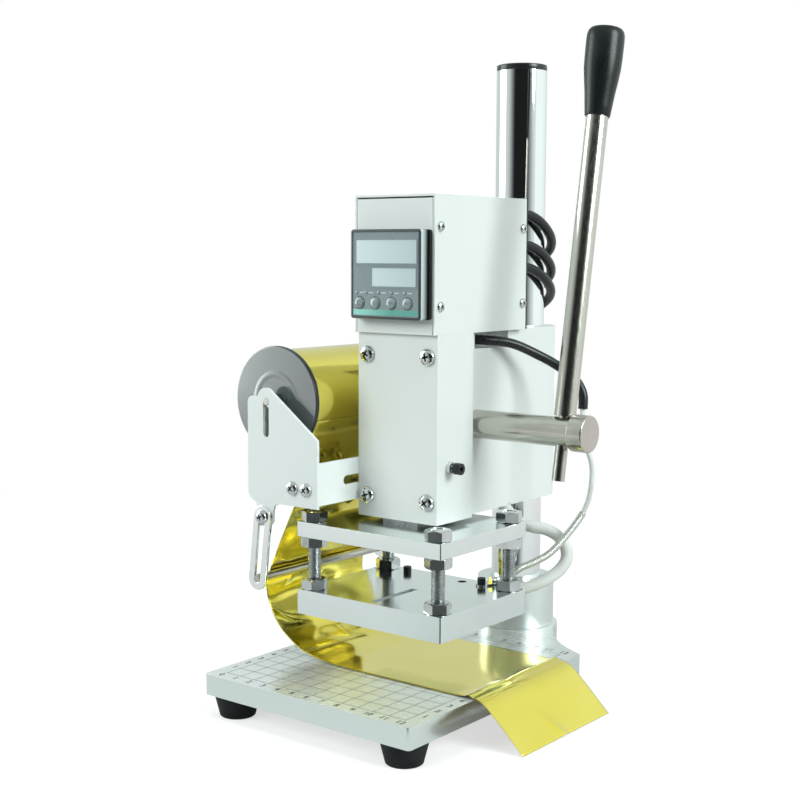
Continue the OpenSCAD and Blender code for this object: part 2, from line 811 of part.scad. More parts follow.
module controller_case() {
    color("dimgray")
        block([-case_w / 2, case_w / 2], [box_y, box_y + case_l],
            [bezel_mid - case_w / 2, bezel_mid + case_w / 2]);
}
module controller_bezel() {
    color("darkslategray")
        difference() {
            along_y([bezel_y, box_y])
                translate([0, bezel_mid])
                    rounded(bezel_w, bezel_w, 2);
            window_places(0, [bezel_y - cut, bezel_y + window_t + window_sink]);
            for (i = [0 : 3])
                rod_y(button_d / 2 + clear, button_x(i), [bezel_y - cut, bezel_y + button_pit], button_z);
        }
}
button_pit = button_in + button_travel + clear;
function button_x(i) = button_mid + (i - 1.5) * button_pitch;
module window_places(gap, y) {
    for (w = windows)
        block([w[0] + gap, w[1] - gap], y, [bezel_mid + w[2] + gap, bezel_mid + w[3] - gap]);
}
module display_windows() {
    color("darkgray")
        window_places(fit, [bezel_y + window_sink, bezel_y + window_sink + window_t]);
}
module button(i) {
    color("gray")
        rod_y(button_d / 2, button_x(i), [bezel_y - button_out, bezel_y + button_in], button_z);
}
module button_1() {
    button(0);
}
module button_2() {
    button(1);
}
module button_3() {
    button(2);
}
module button_4() {
    button(3);
}
// Mains inlet: a flange on the panel and a socket behind it
module inlet_block(grow, y) {
    block([inlet_x - inlet_w / 2 - grow, inlet_x + inlet_w / 2 + grow], y,
        [inlet_z - inlet_h / 2 - grow, inlet_z + inlet_h / 2 + grow]);
}
module mains_inlet() {
    color("black")
        difference() {
            union() {
                inlet_block(inlet_rim, [box_back, box_back + inlet_rim]);
                inlet_block(-fit, [box_back - socket_d - socket_wall, box_back + cut]);
            }
            inlet_block(-socket_wall - fit, [box_back - socket_d, box_back + inlet_rim + cut]);
        }
}
module cable_glands() {
    color("black") {
        for (z = loop_exit_z) {
            rod_y(gland_r, loop_exit_x, [box_back, box_back + gland_t], z);
            rod_y(gland_neck, loop_exit_x, [box_back - gland_depth, box_back + cut], z);
        }
        for (z = loop_end_z) {
            rod_x(gland_r, [-neck_x - gland_t, -neck_x], loop_end_y, z);
            rod_x(gland_neck, [-neck_x - cut, -neck_x + gland_depth], loop_end_y, z);
        }
    }
}

// Leads
function loop_route(i) = let (n = len(loop_plan) - 1,
        a = [loop_exit_x, box_back + gland_t], b = [-neck_x - gland_t, loop_end_y],
        plan = anchored(loop_plan, a, b))
    [for (k = [0 : n])
        [plan[k].x, plan[k].y, loop_exit_z[i] + loop_share[k] * (loop_end_z[i] - loop_exit_z[i])]];
module box_cables() {
    color("black")
        for (i = [0 : 2])
            tube(loop_route(i), lead_d / 2, 8, [0, 1, 0], [1, 0, 0]);
}
module sensor_cable() {
    color("black")
        tube(anchored(sensor_cable_points, [pocket_wall, 46, head_top - 5], sensor_join),
            sensor_cable_d / 2, 8, [1, 0, 0], sensor_way);
}
module sensor_lead() {
    color("lightgray")
        tube(anchored(sensor_lead_points, sensor_join, braid_join), sensor_lead_d / 2, 8,
            sensor_way, braid_way);
}
module sensor_braid() {
    color("silver")
        tube(anchored(sensor_braid_points, braid_join, lug_end), braid_d / 2, 8, braid_way,
            [-cos(lug_turn), -sin(lug_turn), 0]);
}
module heater_lead() {
    color("white")
        tube(anchored(heater_lead_points, heater_start,
            [cartridge_x[1] + heater_side, plate_back, cartridge_z]), heater_lead_d / 2, 10,
            heater_way, [0, -1, 0]);
}
module heater_jumper() {
    color("white")
        tube(anchored(jumper_points, [cartridge_x[0], plate_back, cartridge_z],
            [cartridge_x[1] + jumper_side, plate_back, cartridge_z]), jumper_d / 2, 8, [0, 1, 0], [0, -1, 0]);
}

// Foil holder
module holder_outline() {
    difference() {
        union() {
            polygon([[plate_left, holder_z + 5], [plate_left + 1.5, holder_z + 1.5],
                [link_top.x - 6, holder_z - 1], [link_top.x - 6, link_top.y - 3],
                [link_top.x - 3.5, link_top.y - 5.5], [link_top.x + 3.5, link_top.y - 5.5],
                [link_top.x + 6.5, link_top.y - 2.5], [link_top.x + 6.5, holder_z - 4.5],
                [link_top.x + 7.8, holder_z - 1.3], [link_top.x + 11, holder_z],
                [plate_right, holder_z], [plate_right, holder_z + 37.5],
                [-roll_x + ear_r - 0.5, roll_z + 4.5], [-roll_x, roll_z + 4.5],
                [-roll_x - ear_r + 0.3, roll_z + 2.5], [plate_left + 4, roll_z + 2.5],
                [plate_left, roll_z - 1.5]]);
            translate([-roll_x, roll_z + 1])
                circle(ear_r);
            translate([plate_left + 4, roll_z - 1.5])
                circle(4);
        }
        slot([-roll_x, roll_z], [-roll_x, roll_z - slot_drop], spindle_r + 2 * fit);
        for (x = tab_screw_x)
            translate([x, tab_screw_z])
                circle(m4[0] + fit);
        translate(link_top)
            circle(m4[0] + fit);
    }
}
module bracket_front() {
    color("white")
        along_y([front_y - sheet_t, front_y])
            holder_outline();
}
module bracket_rear() {
    color("white")
        along_y([rear_y, rear_y + sheet_t])
            holder_outline();
}
module bracket_cross() {
    color("white")
        difference() {
            union() {
                block([cross_x - sheet_t, cross_x], [front_y, rear_y], cross_z);
                block([tab_x, cross_x], [front_y, front_y + sheet_t], cross_z);
                block([tab_x, cross_x], [rear_y - sheet_t, rear_y], cross_z);
            }
            along_x([cross_x - sheet_t - cut, cross_x + cut])
                slot([slot_y[0], slot_z], [slot_y[1], slot_z], m4[0] + 0.5);
            for (x = tab_screw_x) {
                rod_y(m4[0] + fit, x, [front_y - cut, front_y + sheet_t + cut], tab_screw_z);
                rod_y(m4[0] + fit, x, [rear_y - sheet_t - cut, rear_y + cut], tab_screw_z);
            }
        }
}
module bracket_screws() {
    color("silver") {
        for (x = tab_screw_x) {
            translate([x, front_y - sheet_t, tab_screw_z])
                rotate([90, 0, 0])
                    screw(m4, 6);
            translate([x, rear_y + sheet_t, tab_screw_z])
                rotate([-90, 0, 0])
                    screw(m4, 6);
        }
        for (y = cross_screw_y)
            translate([cross_x - sheet_t, y, slot_z])
                rotate([0, -90, 0])
                    screw(m4, sheet_t + 8);
        translate([link_top.x, front_y - sheet_t - link_t, link_top.y])
            rotate([90, 0, 0])
                screw(m4, 6);
        translate([link_top.x, rear_y + sheet_t + link_t, link_top.y])
            rotate([-90, 0, 0])
                screw(m4, 6);
    }
}
module link_outline() {
    difference() {
        slot([0, 0], [link_length, 0], link_r);
        slot([0, 0], [link_length, 0], m4[0] + fit);
    }
}
// A link is drawn level and then tilted down to the guide rod
module guide_links() {
    color("silver")
        for (y = [front_y - sheet_t - link_t, rear_y + sheet_t])
            translate([link_top.x, 0, link_top.y])
                rotate([0, -link_turn, 0])
                    along_y([y, y + link_t])
                        link_outline();
}
// The guide rod's thin ends sit in the links' slots
module guide_rod() {
    color("silver") {
        rod_y(guide_r, -guide_x, [front_y - sheet_t, rear_y + sheet_t], guide_z);
        rod_y(m4[0], -guide_x, [front_y - sheet_t - link_t, rear_y + sheet_t + link_t], guide_z);
    }
}
module roll_spindle() {
    color("silver")
        rod_y(spindle_r, -roll_x, [front_y - sheet_t, rear_y + sheet_t], roll_z);
}
module spindle_nuts() {
    color("silver")
        for (y = [front_y, rear_y - 4])
            difference() {
                translate([-roll_x, y, roll_z])
                    rotate([-90, 0, 0])
                        cylinder(r = 2 * spindle_r, h = 4, $fn = 6);
                rod_y(spindle_r + fit, -roll_x, [y - cut, y + 4 + cut], roll_z);
            }
}
module foil_roll() {
    color("gold")
        difference() {
            rod_y(roll_r, -roll_x, [foil_y, foil_back], roll_z);
            rod_y(core_r + fit, -roll_x, [foil_y - cut, foil_back + cut], roll_z);
        }
}
module roll_core() {
    color("burlywood")
        difference() {
            rod_y(core_r, -roll_x, [foil_y, foil_back], roll_z);
            rod_y(core_r - core_wall, -roll_x, [foil_y - cut, foil_back + cut], roll_z);
        }
}
module roll_flanges() {
    color("dimgray")
        for (y = [[foil_y - flange_t, foil_y, foil_y + hub_l],
            [foil_back, foil_back + flange_t, foil_back - hub_l]])
            difference() {
                union() {
                    rod_y(flange_r, -roll_x, [y[0], y[1]], roll_z);
                    rod_y(core_r - core_wall - fit, -roll_x, [min(y), max(y)], roll_z);
                }
                rod_y(spindle_r + fit, -roll_x, [min(y) - cut, max(y) + cut], roll_z);
            }
}

// Lever, shaft and pinion
module pinion_shaft() {
    color("silver")
        difference() {
            union() {
                rod_x(journal_r, [shaft_left, cavity_x], shaft_y, shaft_z);
                rod_x(shaft_r, [cavity_x - 0.5, shaft_reach], shaft_y, shaft_z);
                rod_x(spigot_r, [shaft_reach - cut, shaft_reach + spigot_l], shaft_y, shaft_z);
            }
            difference() {
                rod_x(journal_r + cut, [clip_x - fit, clip_x + clip_t + fit], shaft_y, shaft_z);
                rod_x(journal_r - clip_groove, [clip_x - cut, clip_x + clip_t + cut], shaft_y, shaft_z);
            }
            on_lever()
                rod_z(lever_tang_d / 2 + fit, 0, 0, [-shaft_r - cut, shaft_r + cut]);
            key_block(fit);
        }
}
// Key between the shaft and the pinion, on the side away from the rack
module key_block(grow) {
    block([-pinion_w / 2, pinion_w / 2],
        [shaft_y + journal_r - key_sink - grow, shaft_y + journal_r + key_rise + grow],
        [shaft_z - key_w / 2 - grow, shaft_z + key_w / 2 + grow]);
}
module pinion_key() {
    color("dimgray")
        key_block(0);
}
module shaft_clip() {
    color("dimgray")
        difference() {
            rod_x(journal_r + 2.5, [clip_x, clip_x + clip_t], shaft_y, shaft_z);
            rod_x(journal_r - clip_groove + fit, [clip_x - cut, clip_x + clip_t + cut], shaft_y, shaft_z);
        }
}
module shaft_collar() {
    color("silver")
        difference() {
            rod_x(collar_d / 2, [shaft_reach + collar_gap, shaft_reach + collar_gap + collar_w],
                shaft_y, shaft_z);
            rod_x(spigot_r + fit, [shaft_reach, shaft_reach + spigot_l + fit], shaft_y, shaft_z);
        }
}
// The lever's own frame: its foot on the shaft's axis, +Z along the rod
module on_lever() {
    translate([lever_x, shaft_y, shaft_z])
        rotate([-lever_lean, 0, 0])
            children();
}
module lever_rod() {
    color("silver")
        on_lever() {
            rod_z(lever_d / 2, 0, 0, [lever_foot, lever_l - grip_l + grip_bore]);
            rod_z(lever_tang_d / 2, 0, 0, [-lever_tail, lever_foot + cut]);
        }
}
module lever_grip() {
    foot = lever_l - grip_l;
    color("black")
        on_lever()
            difference() {
                rotate_extrude()
                    union() {
                        polygon([[0, foot], [grip_neck_r, foot], [grip_d / 2, foot + grip_l * 0.55],
                            [grip_d / 2, lever_l - grip_round], [grip_d / 2 - grip_round, lever_l],
                            [0, lever_l]]);
                        intersection() {
                            translate([grip_d / 2 - grip_round, lever_l - grip_round])
                                circle(grip_round);
                            square([grip_d, lever_l]);
                        }
                    }
                rod_z(lever_d / 2 + fit, 0, 0, [foot - cut, foot + grip_bore + fit]);
            }
}
function involute(r) = let (a = acos(base_r / r)) tan(a) * 180 / PI - a;
// Half of a tooth's angle at a radius, less the play
function half_tooth(r) = 90 / teeth - tooth_play / pitch_r * 180 / PI
    + involute(pitch_r) - involute(max(r, base_r));
module pinion() {
    flank = [root_r, base_r, base_r + (tip_r - base_r) / 4, (base_r + tip_r) / 2, tip_r];
    outline = [for (i = [0 : teeth - 1])
        let (a = 180 + i * 360 / teeth)
        each concat([for (r = flank) r * [cos(a - half_tooth(r)), sin(a - half_tooth(r))]],
            [for (k = [len(flank) - 1 : -1 : 0])
                let (r = flank[k])
                r * [cos(a + half_tooth(r)), sin(a + half_tooth(r))]])];
    color("slategray")
        difference() {
            along_x([-pinion_w / 2, pinion_w / 2])
                translate([shaft_y, shaft_z])
                    polygon(outline);
            rod_x(journal_r + fit, [-pinion_w, pinion_w], shaft_y, shaft_z);
            key_block(fit);
        }
}

// Ram and plates
module ram() {
    half_root = rack_pitch / 4 - tooth_play + rack_root * tan(pressure);
    half_tip = rack_pitch / 4 - tooth_play - rack_tip * tan(pressure);
    color("slategray")
        difference() {
            union() {
                block([-ram_x, ram_x], [ram_y, ram_back], [ram_bottom, ram_top]);
                along_x([-ram_x, ram_x])
                    for (k = [0 : rack_teeth - 1])
                        let (z = shaft_z + (k - 2.5) * rack_pitch)
                        polygon([[ram_back - cut, z - half_root], [ram_back, z - half_root],
                            [rack_y + rack_tip, z - half_tip], [rack_y + rack_tip, z + half_tip],
                            [ram_back, z + half_root], [ram_back - cut, z + half_root]]);
            }
            rod_z(spring_bore_r, 0, spring_y, [ram_bottom - cut, spring_roof]);
            along_x([-ram_x - cut, ram_x + cut])
                slot([spring_y, spring_pin_z - clear], [spring_y, spring_pin_z + stroke + clear],
                    spring_pin_r + clear);
            for (x = [-ram_bolt_x, ram_bolt_x])
                rod_z(m5[0] + fit, x, ram_bolt_y, [ram_bottom - cut, ram_bottom + ram_bolt_l]);
        }
}
module return_spring() {
    color("lightslategray")
        tube(spring_points, spring_wire / 2, 6);
}
module ram_bolts() {
    color("dimgray")
        for (x = [-ram_bolt_x, ram_bolt_x])
            translate([x, ram_bolt_y, upper_z + m5_cap[1] + clear])
                rotate([180, 0, 0])
                    cap_screw(m5[0], m5_cap, ram_bolt_l);
}
module stud_places() {
    for (x = [-stud_x, stud_x], y = stud_y)
        translate([x, y, 0])
            children();
}
module upper_plate() {
    color("gainsboro")
        difference() {
            translate([0, (plate_y + plate_back) / 2, upper_z])
                linear_extrude(upper_t)
                    rounded(plate_w, plate_d, 1);
            stud_places()
                rod_z(stud_r + clear, 0, 0, [upper_z - cut, ram_bottom + cut]);
            for (x = [-ram_bolt_x, ram_bolt_x]) {
                rod_z(m5[0] + clear, x, ram_bolt_y, [upper_z - cut, ram_bottom + cut]);
                rod_z(m5_cap[0] + clear, x, ram_bolt_y, [upper_z - cut, upper_z + m5_cap[1] + clear]);
            }
        }
}
module studs() {
    color("silver")
        stud_places()
            rod_z(stud_r, 0, 0, [stud_foot, stud_top]);
}
module stud_nuts() {
    color("silver")
        stud_places()
            for (z = [ram_bottom, upper_z - nut_h, heater_top])
                difference() {
                    translate([0, 0, z])
                        cylinder(r = nut_r, h = nut_h, $fn = 6);
                    rod_z(stud_r + fit, 0, 0, [z - cut, z + nut_h + cut]);
                }
}
module heater_plate() {
    color("gainsboro")
        difference() {
            translate([0, (plate_y + plate_back) / 2, daylight])
                linear_extrude(heater_t)
                    rounded(plate_w, plate_d, 1);
            stud_places()
                rod_z(stud_r + fit, 0, 0, [stud_foot - 0.2, heater_top + cut]);
            for (x = cartridge_x) {
                rod_y(cartridge_r + fit, x, [plate_back - cartridge_l - 0.2, plate_back + cut], cartridge_z);
                rod_z(m3[0] + fit, x, plate_screw_y, [cartridge_z, heater_top + cut]);
            }
            block([2 - groove_w / 2, 2 + groove_w / 2], groove_y, [heater_top - 2, heater_top + cut]);
            rod_z(m5[0], spare_hole.x, spare_hole.y, [heater_top - 5, heater_top + cut]);
        }
}
module heater_cartridges() {
    color("dimgray")
        for (x = cartridge_x)
            rod_y(cartridge_r, x, [plate_back - cartridge_l, plate_back], cartridge_z);
}
// Screws that hold the cartridges; the right one also holds the sensor's ring
module plate_screws() {
    color("black")
        for (i = [0, 1])
            translate([cartridge_x[i], plate_screw_y, heater_top + i * lug_t])
                cap_screw(m3[0], cap_head, heater_top + i * lug_t - cartridge_z - cartridge_r - clear);
}
module sensor_lug() {
    color("silver")
        translate([cartridge_x[1], plate_screw_y, heater_top])
            difference() {
                union() {
                    rod_z(lug_r, 0, 0, [0, lug_t]);
                    rotate(lug_turn) {
                        block([0, lug_l - 3], [-barrel_r, barrel_r], [0, lug_t]);
                        rod_x(barrel_r, [lug_l - 4, lug_l], 0, barrel_r);
                    }
                }
                rod_z(m3[0] + fit, 0, 0, [-cut, lug_t + cut]);
                rod_z(cap_head[0] + fit, 0, 0, [lug_t, 3 * barrel_r]);
            }
}

base_plate();
rubber_feet();
base_screws();
column_seat();
column_tube();
column_cap();
foil_web();
head_body();
front_cover();
cover_screws();
gib_strip();
gib_screws();
clamp_bolts();
box_chassis();
box_cover();
box_screws();
controller_case();
controller_bezel();
display_windows();
mains_inlet();
cable_glands();
box_cables();
sensor_cable();
sensor_lead();
sensor_braid();
heater_lead();
bracket_front();
bracket_rear();
bracket_cross();
bracket_screws();
guide_links();
guide_rod();
roll_spindle();
spindle_nuts();
spring_pin();
return_spring();
foil_roll();
roll_core();
roll_flanges();
pinion_shaft();
pinion();
pinion_key();
lever_rod();
lever_grip();
shaft_collar();
shaft_clip();
ram();
ram_bolts();
upper_plate();
studs();
stud_nuts();
heater_plate();
heater_cartridges();
plate_screws();
heater_jumper();
sensor_lug();
button_1();
button_2();
button_3();
button_4();
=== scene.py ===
# %% [markdown]
# # A hot foil stamping press
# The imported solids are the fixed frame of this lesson. Each step dresses one group of pieces: it says what
# the piece is on the real machine, how it could be made in Blender, and why it is made as it is here.
# Lengths in the code are millimetres in the frame of the press: the origin is the middle of the table's
# top, +X is the operator's right, +Y the back and +Z up. Only the stage and its lamps are placed in metres.

# %% Load the frame
import json
import math
from bisect import bisect_right

import bmesh
import bpy
from mathutils import Matrix, Vector, noise
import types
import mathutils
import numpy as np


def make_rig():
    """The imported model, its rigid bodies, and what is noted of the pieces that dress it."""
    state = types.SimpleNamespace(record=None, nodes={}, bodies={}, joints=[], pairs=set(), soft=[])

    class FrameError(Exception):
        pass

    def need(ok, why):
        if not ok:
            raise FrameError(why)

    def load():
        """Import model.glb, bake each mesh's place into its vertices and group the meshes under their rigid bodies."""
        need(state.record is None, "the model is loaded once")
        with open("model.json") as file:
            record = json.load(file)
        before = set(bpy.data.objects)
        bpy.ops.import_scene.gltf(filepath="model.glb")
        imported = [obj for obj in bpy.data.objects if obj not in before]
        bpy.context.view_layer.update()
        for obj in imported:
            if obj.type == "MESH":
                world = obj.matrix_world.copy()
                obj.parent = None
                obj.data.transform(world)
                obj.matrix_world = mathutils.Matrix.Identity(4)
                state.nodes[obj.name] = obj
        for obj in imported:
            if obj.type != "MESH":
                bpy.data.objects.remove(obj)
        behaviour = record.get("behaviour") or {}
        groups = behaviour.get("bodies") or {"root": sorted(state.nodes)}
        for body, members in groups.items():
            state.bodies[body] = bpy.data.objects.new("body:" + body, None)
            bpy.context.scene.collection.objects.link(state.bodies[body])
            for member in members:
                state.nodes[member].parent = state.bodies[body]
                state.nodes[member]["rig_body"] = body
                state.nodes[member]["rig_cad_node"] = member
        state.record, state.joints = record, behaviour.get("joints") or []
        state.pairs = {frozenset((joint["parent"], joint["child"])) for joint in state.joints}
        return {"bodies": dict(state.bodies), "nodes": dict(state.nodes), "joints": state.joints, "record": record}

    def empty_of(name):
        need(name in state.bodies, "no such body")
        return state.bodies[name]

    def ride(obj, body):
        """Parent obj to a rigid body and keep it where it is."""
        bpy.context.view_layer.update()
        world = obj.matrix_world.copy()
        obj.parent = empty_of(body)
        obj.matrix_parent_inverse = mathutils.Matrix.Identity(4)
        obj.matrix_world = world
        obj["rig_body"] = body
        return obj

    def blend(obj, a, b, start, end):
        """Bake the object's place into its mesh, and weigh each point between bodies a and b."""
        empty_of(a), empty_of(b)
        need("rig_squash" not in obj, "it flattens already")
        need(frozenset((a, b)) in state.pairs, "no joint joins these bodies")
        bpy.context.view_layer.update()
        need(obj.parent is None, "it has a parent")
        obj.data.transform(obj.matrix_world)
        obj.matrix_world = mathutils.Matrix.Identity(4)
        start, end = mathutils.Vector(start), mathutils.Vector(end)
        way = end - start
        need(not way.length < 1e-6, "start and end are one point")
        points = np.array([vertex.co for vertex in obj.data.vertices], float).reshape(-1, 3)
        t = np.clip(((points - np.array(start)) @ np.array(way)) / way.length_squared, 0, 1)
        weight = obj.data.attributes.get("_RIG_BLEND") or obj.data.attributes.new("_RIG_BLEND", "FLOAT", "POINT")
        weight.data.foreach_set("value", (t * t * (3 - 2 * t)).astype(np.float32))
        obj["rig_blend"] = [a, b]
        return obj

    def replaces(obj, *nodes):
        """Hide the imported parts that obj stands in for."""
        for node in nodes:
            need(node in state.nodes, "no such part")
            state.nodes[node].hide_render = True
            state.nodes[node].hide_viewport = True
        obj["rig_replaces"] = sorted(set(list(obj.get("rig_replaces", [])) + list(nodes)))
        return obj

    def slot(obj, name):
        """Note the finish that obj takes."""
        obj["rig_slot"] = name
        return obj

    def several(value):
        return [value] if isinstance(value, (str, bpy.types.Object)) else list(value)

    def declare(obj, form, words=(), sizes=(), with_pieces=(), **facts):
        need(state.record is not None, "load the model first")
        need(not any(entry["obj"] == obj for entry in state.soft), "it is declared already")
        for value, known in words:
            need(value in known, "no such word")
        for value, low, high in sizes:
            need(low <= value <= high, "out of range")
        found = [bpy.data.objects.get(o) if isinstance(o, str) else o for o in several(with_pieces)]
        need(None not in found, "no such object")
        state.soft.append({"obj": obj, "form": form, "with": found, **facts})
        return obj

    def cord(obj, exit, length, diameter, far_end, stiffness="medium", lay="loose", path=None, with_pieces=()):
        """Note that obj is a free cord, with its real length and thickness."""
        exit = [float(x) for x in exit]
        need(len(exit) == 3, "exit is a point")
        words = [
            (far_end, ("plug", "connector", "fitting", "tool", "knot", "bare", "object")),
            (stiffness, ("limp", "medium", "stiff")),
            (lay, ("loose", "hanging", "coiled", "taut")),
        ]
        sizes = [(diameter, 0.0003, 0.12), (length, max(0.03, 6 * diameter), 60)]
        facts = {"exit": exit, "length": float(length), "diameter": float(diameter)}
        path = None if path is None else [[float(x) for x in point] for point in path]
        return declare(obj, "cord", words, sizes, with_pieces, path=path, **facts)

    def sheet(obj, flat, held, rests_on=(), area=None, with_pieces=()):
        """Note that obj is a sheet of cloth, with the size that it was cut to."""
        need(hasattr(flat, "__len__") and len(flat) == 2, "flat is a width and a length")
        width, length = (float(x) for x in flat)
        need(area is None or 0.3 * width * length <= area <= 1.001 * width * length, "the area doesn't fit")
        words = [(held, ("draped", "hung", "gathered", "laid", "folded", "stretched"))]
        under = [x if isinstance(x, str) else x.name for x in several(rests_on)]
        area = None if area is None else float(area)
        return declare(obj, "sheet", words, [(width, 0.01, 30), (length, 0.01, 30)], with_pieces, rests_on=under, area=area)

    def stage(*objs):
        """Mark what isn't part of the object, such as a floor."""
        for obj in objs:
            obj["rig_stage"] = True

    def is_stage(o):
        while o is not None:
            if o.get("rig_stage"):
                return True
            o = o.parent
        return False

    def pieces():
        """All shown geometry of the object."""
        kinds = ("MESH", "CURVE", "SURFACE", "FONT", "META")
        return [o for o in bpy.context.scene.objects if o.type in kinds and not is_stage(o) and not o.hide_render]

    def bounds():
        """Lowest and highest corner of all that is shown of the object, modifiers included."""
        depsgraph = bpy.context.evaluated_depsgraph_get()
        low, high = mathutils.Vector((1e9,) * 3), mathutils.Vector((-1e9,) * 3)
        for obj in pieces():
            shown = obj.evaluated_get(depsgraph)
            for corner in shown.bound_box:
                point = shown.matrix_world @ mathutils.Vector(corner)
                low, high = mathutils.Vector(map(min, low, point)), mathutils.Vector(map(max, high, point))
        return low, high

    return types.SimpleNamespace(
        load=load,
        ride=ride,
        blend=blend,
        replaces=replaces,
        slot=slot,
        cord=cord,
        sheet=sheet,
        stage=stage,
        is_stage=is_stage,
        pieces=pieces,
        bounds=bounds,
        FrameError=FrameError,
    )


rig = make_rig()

for default in list(bpy.data.objects):
    bpy.data.objects.remove(default)
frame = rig.load()
NODES = frame["nodes"]
cad_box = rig.bounds()
print("frame:", len(NODES), "nodes, box", [round(x, 3) for corner in cad_box for x in corner])

# %% Helpers for lengths, objects and meshes
MM = 0.001


def mm(*lengths):
    """A point or vector given in millimetres, in metres."""
    return Vector(lengths) * MM


def linked(name, data):
    """A new object in the scene."""
    made = bpy.data.objects.new(name, data)
    bpy.context.scene.collection.objects.link(made)
    return made


def mesh_of(name, bm):
    """The mesh of a finished shape, which is freed."""
    mesh = bpy.data.meshes.new(name)
    bm.to_mesh(mesh)
    bm.free()
    return mesh


def frozen(thing):
    """The mesh of a curve, a text or a modified object, which is removed."""
    mesh = bpy.data.meshes.new_from_object(thing.evaluated_get(bpy.context.evaluated_depsgraph_get()))
    bpy.data.objects.remove(thing)
    return mesh


# %% [markdown]
# ## Camera
# The view was found by fitting a camera to the edges of the table, the control box and the plates. Its
# place and its three axes are written down as they came out, and the small shift moves the picture's middle
# to where the lens axis met the picture.

# %% Camera
EYE = mm(463.05, -589.04, 226.65)
EYE_RIGHT = Vector((0.78656, 0.6175, 0.00402))
EYE_UP = Vector((-0.06589, 0.07746, 0.99482))
EYE_BACK = Vector((0.61398, -0.78275, 0.10161))
lens = bpy.data.cameras.new("picture_camera")
lens.sensor_width = 36
lens.lens = 62.202
lens.shift_x, lens.shift_y = -0.00033, -0.00674
lens.clip_start, lens.clip_end = 0.01, 50
camera = linked("picture_camera", lens)
axes = Matrix((EYE_RIGHT, EYE_UP, EYE_BACK)).transposed().to_4x4()
camera.matrix_world = Matrix.Translation(EYE) @ axes
bpy.context.scene.camera = camera
bpy.context.scene.view_settings.view_transform = "Standard"
print("camera at", [round(x, 3) for x in EYE])

# %% [markdown]
# ## Finishes
# A finish is a node tree on the Principled shader. Nothing on a real press is one flat colour: plastic and
# rubber have a fine grain, rolled plate has streaks, and paint is a little uneven. One helper therefore
# mixes two close tones by a noise, lets a second noise move the roughness, and adds a small bump. A second
# helper paints light and shade: on the display glass, the teal print and the polished side of the
# controller's frame, it passes between a lighter and a darker tone along an axis. That is a painted highlight
# and a painted reflection in place of the light that falls on them. Both read Object coordinates, which are
# the frame of the press, because every piece sits at the origin.

# %% Helpers for nodes
FINISH = {}


def plug(tree, node, plugs):
    """Fills sockets of a node: a link from another node's output, or else a plain value."""
    for socket, value in plugs.items():
        if isinstance(value, bpy.types.NodeSocket):
            tree.links.new(value, node.inputs[socket])
        else:
            node.inputs[socket].default_value = value


def fed(tree, kind, plugs=None, **settings):
    """A new shader node, with its settings made and its sockets filled."""
    made = tree.nodes.new("ShaderNode" + kind)
    for name, value in settings.items():
        setattr(made, name, value)
    plug(tree, made, plugs or {})
    return made


def worked(tree, kind, *values):
    """A number worked out from one or two others."""
    return fed(tree, "Math", dict(enumerate(values)), operation=kind).outputs["Value"]


def noise_at(tree, where, scale, detail=3.0, stretch=(1, 1, 1)):
    """A noise over the piece, stretched by a Mapping node."""
    mapped = fed(tree, "Mapping", {"Vector": where, "Scale": stretch}).outputs["Vector"]
    return fed(tree, "TexNoise", {"Vector": mapped, "Scale": scale, "Detail": detail}).outputs["Fac"]


def spread_of(tree, value, low, high, start=0.3, stop=0.7):
    """A number that goes from low to high while the value goes from start to stop."""
    ends = {"From Min": start, "From Max": stop, "To Min": low, "To Max": high}
    return fed(tree, "MapRange", {"Value": value, **ends}).outputs["Result"]


def two_tone(tree, value, first, last, start=0.3, stop=0.7):
    """A colour that goes from the first to the last while the value goes from start to stop."""
    made = fed(tree, "ValToRGB", {"Fac": value})
    for element, place, tone in zip(made.color_ramp.elements, (start, stop), (first, last)):
        element.position = place
        element.color = (*tone, 1)
    return made.outputs["Color"]


def bumped(tree, value, strength, depth):
    """A normal that follows a height."""
    plugs = {"Height": value, "Strength": strength, "Distance": depth * MM}
    return fed(tree, "Bump", plugs).outputs["Normal"]


# %% Helpers for finishes
FINE_GRAIN = 900


def start_finish(name, constants):
    """A new finish with its constants on the shader's own sockets. Returns its tree and its shader."""
    made = bpy.data.materials.new(name)
    made.use_nodes = True
    FINISH[name] = made
    tree = made.node_tree
    shader = tree.nodes["Principled BSDF"]
    plug(tree, shader, {socket.replace("_", " "): value for socket, value in constants.items()})
    return tree, shader


def grained(name, dark, light, rough, tone=60, grain=FINE_GRAIN, bump=(0.1, 0.05), stretch=(1, 1, 1),
            **constants):
    """Two close tones, a moving roughness and a fine bump. Tone and grain are noise cells in a metre."""
    tree, shader = start_finish(name, constants)
    where = fed(tree, "TexCoord").outputs["Object"]
    broad = noise_at(tree, where, tone, 2.0, stretch)
    fine = noise_at(tree, where, grain, 3.0, stretch)
    plug(tree, shader, {"Base Color": two_tone(tree, broad, dark, light),
                        "Roughness": spread_of(tree, fine, *rough),
                        "Normal": bumped(tree, fine, *bump)})


def shaded(name, axis, ends, first, last, rough, **constants):
    """Painted light and shade: a finish that passes from one tone to another between two places on an axis of the
    press.
    """
    tree, shader = start_finish(name, constants)
    where = fed(tree, "TexCoord").outputs["Object"]
    along = fed(tree, "SeparateXYZ", {"Vector": where}).outputs[axis]
    share = spread_of(tree, along, 0, 1, *(end * MM for end in ends))
    fine = noise_at(tree, where, FINE_GRAIN)
    plug(tree, shader, {"Base Color": two_tone(tree, share, first, last, 0, 1),
                        "Roughness": spread_of(tree, fine, *rough)})


# %% [markdown]
# ## Paint, plate and plated steel
# The head and the box are white gloss paint with a faint green cast. The plates are bright rolled
# aluminium, so their noise is drawn out along one axis. The column is chrome, the lever and shaft satin
# nickel, and the fasteners bright zinc. Bright metal shows every unevenness, so its bump is next to
# nothing.

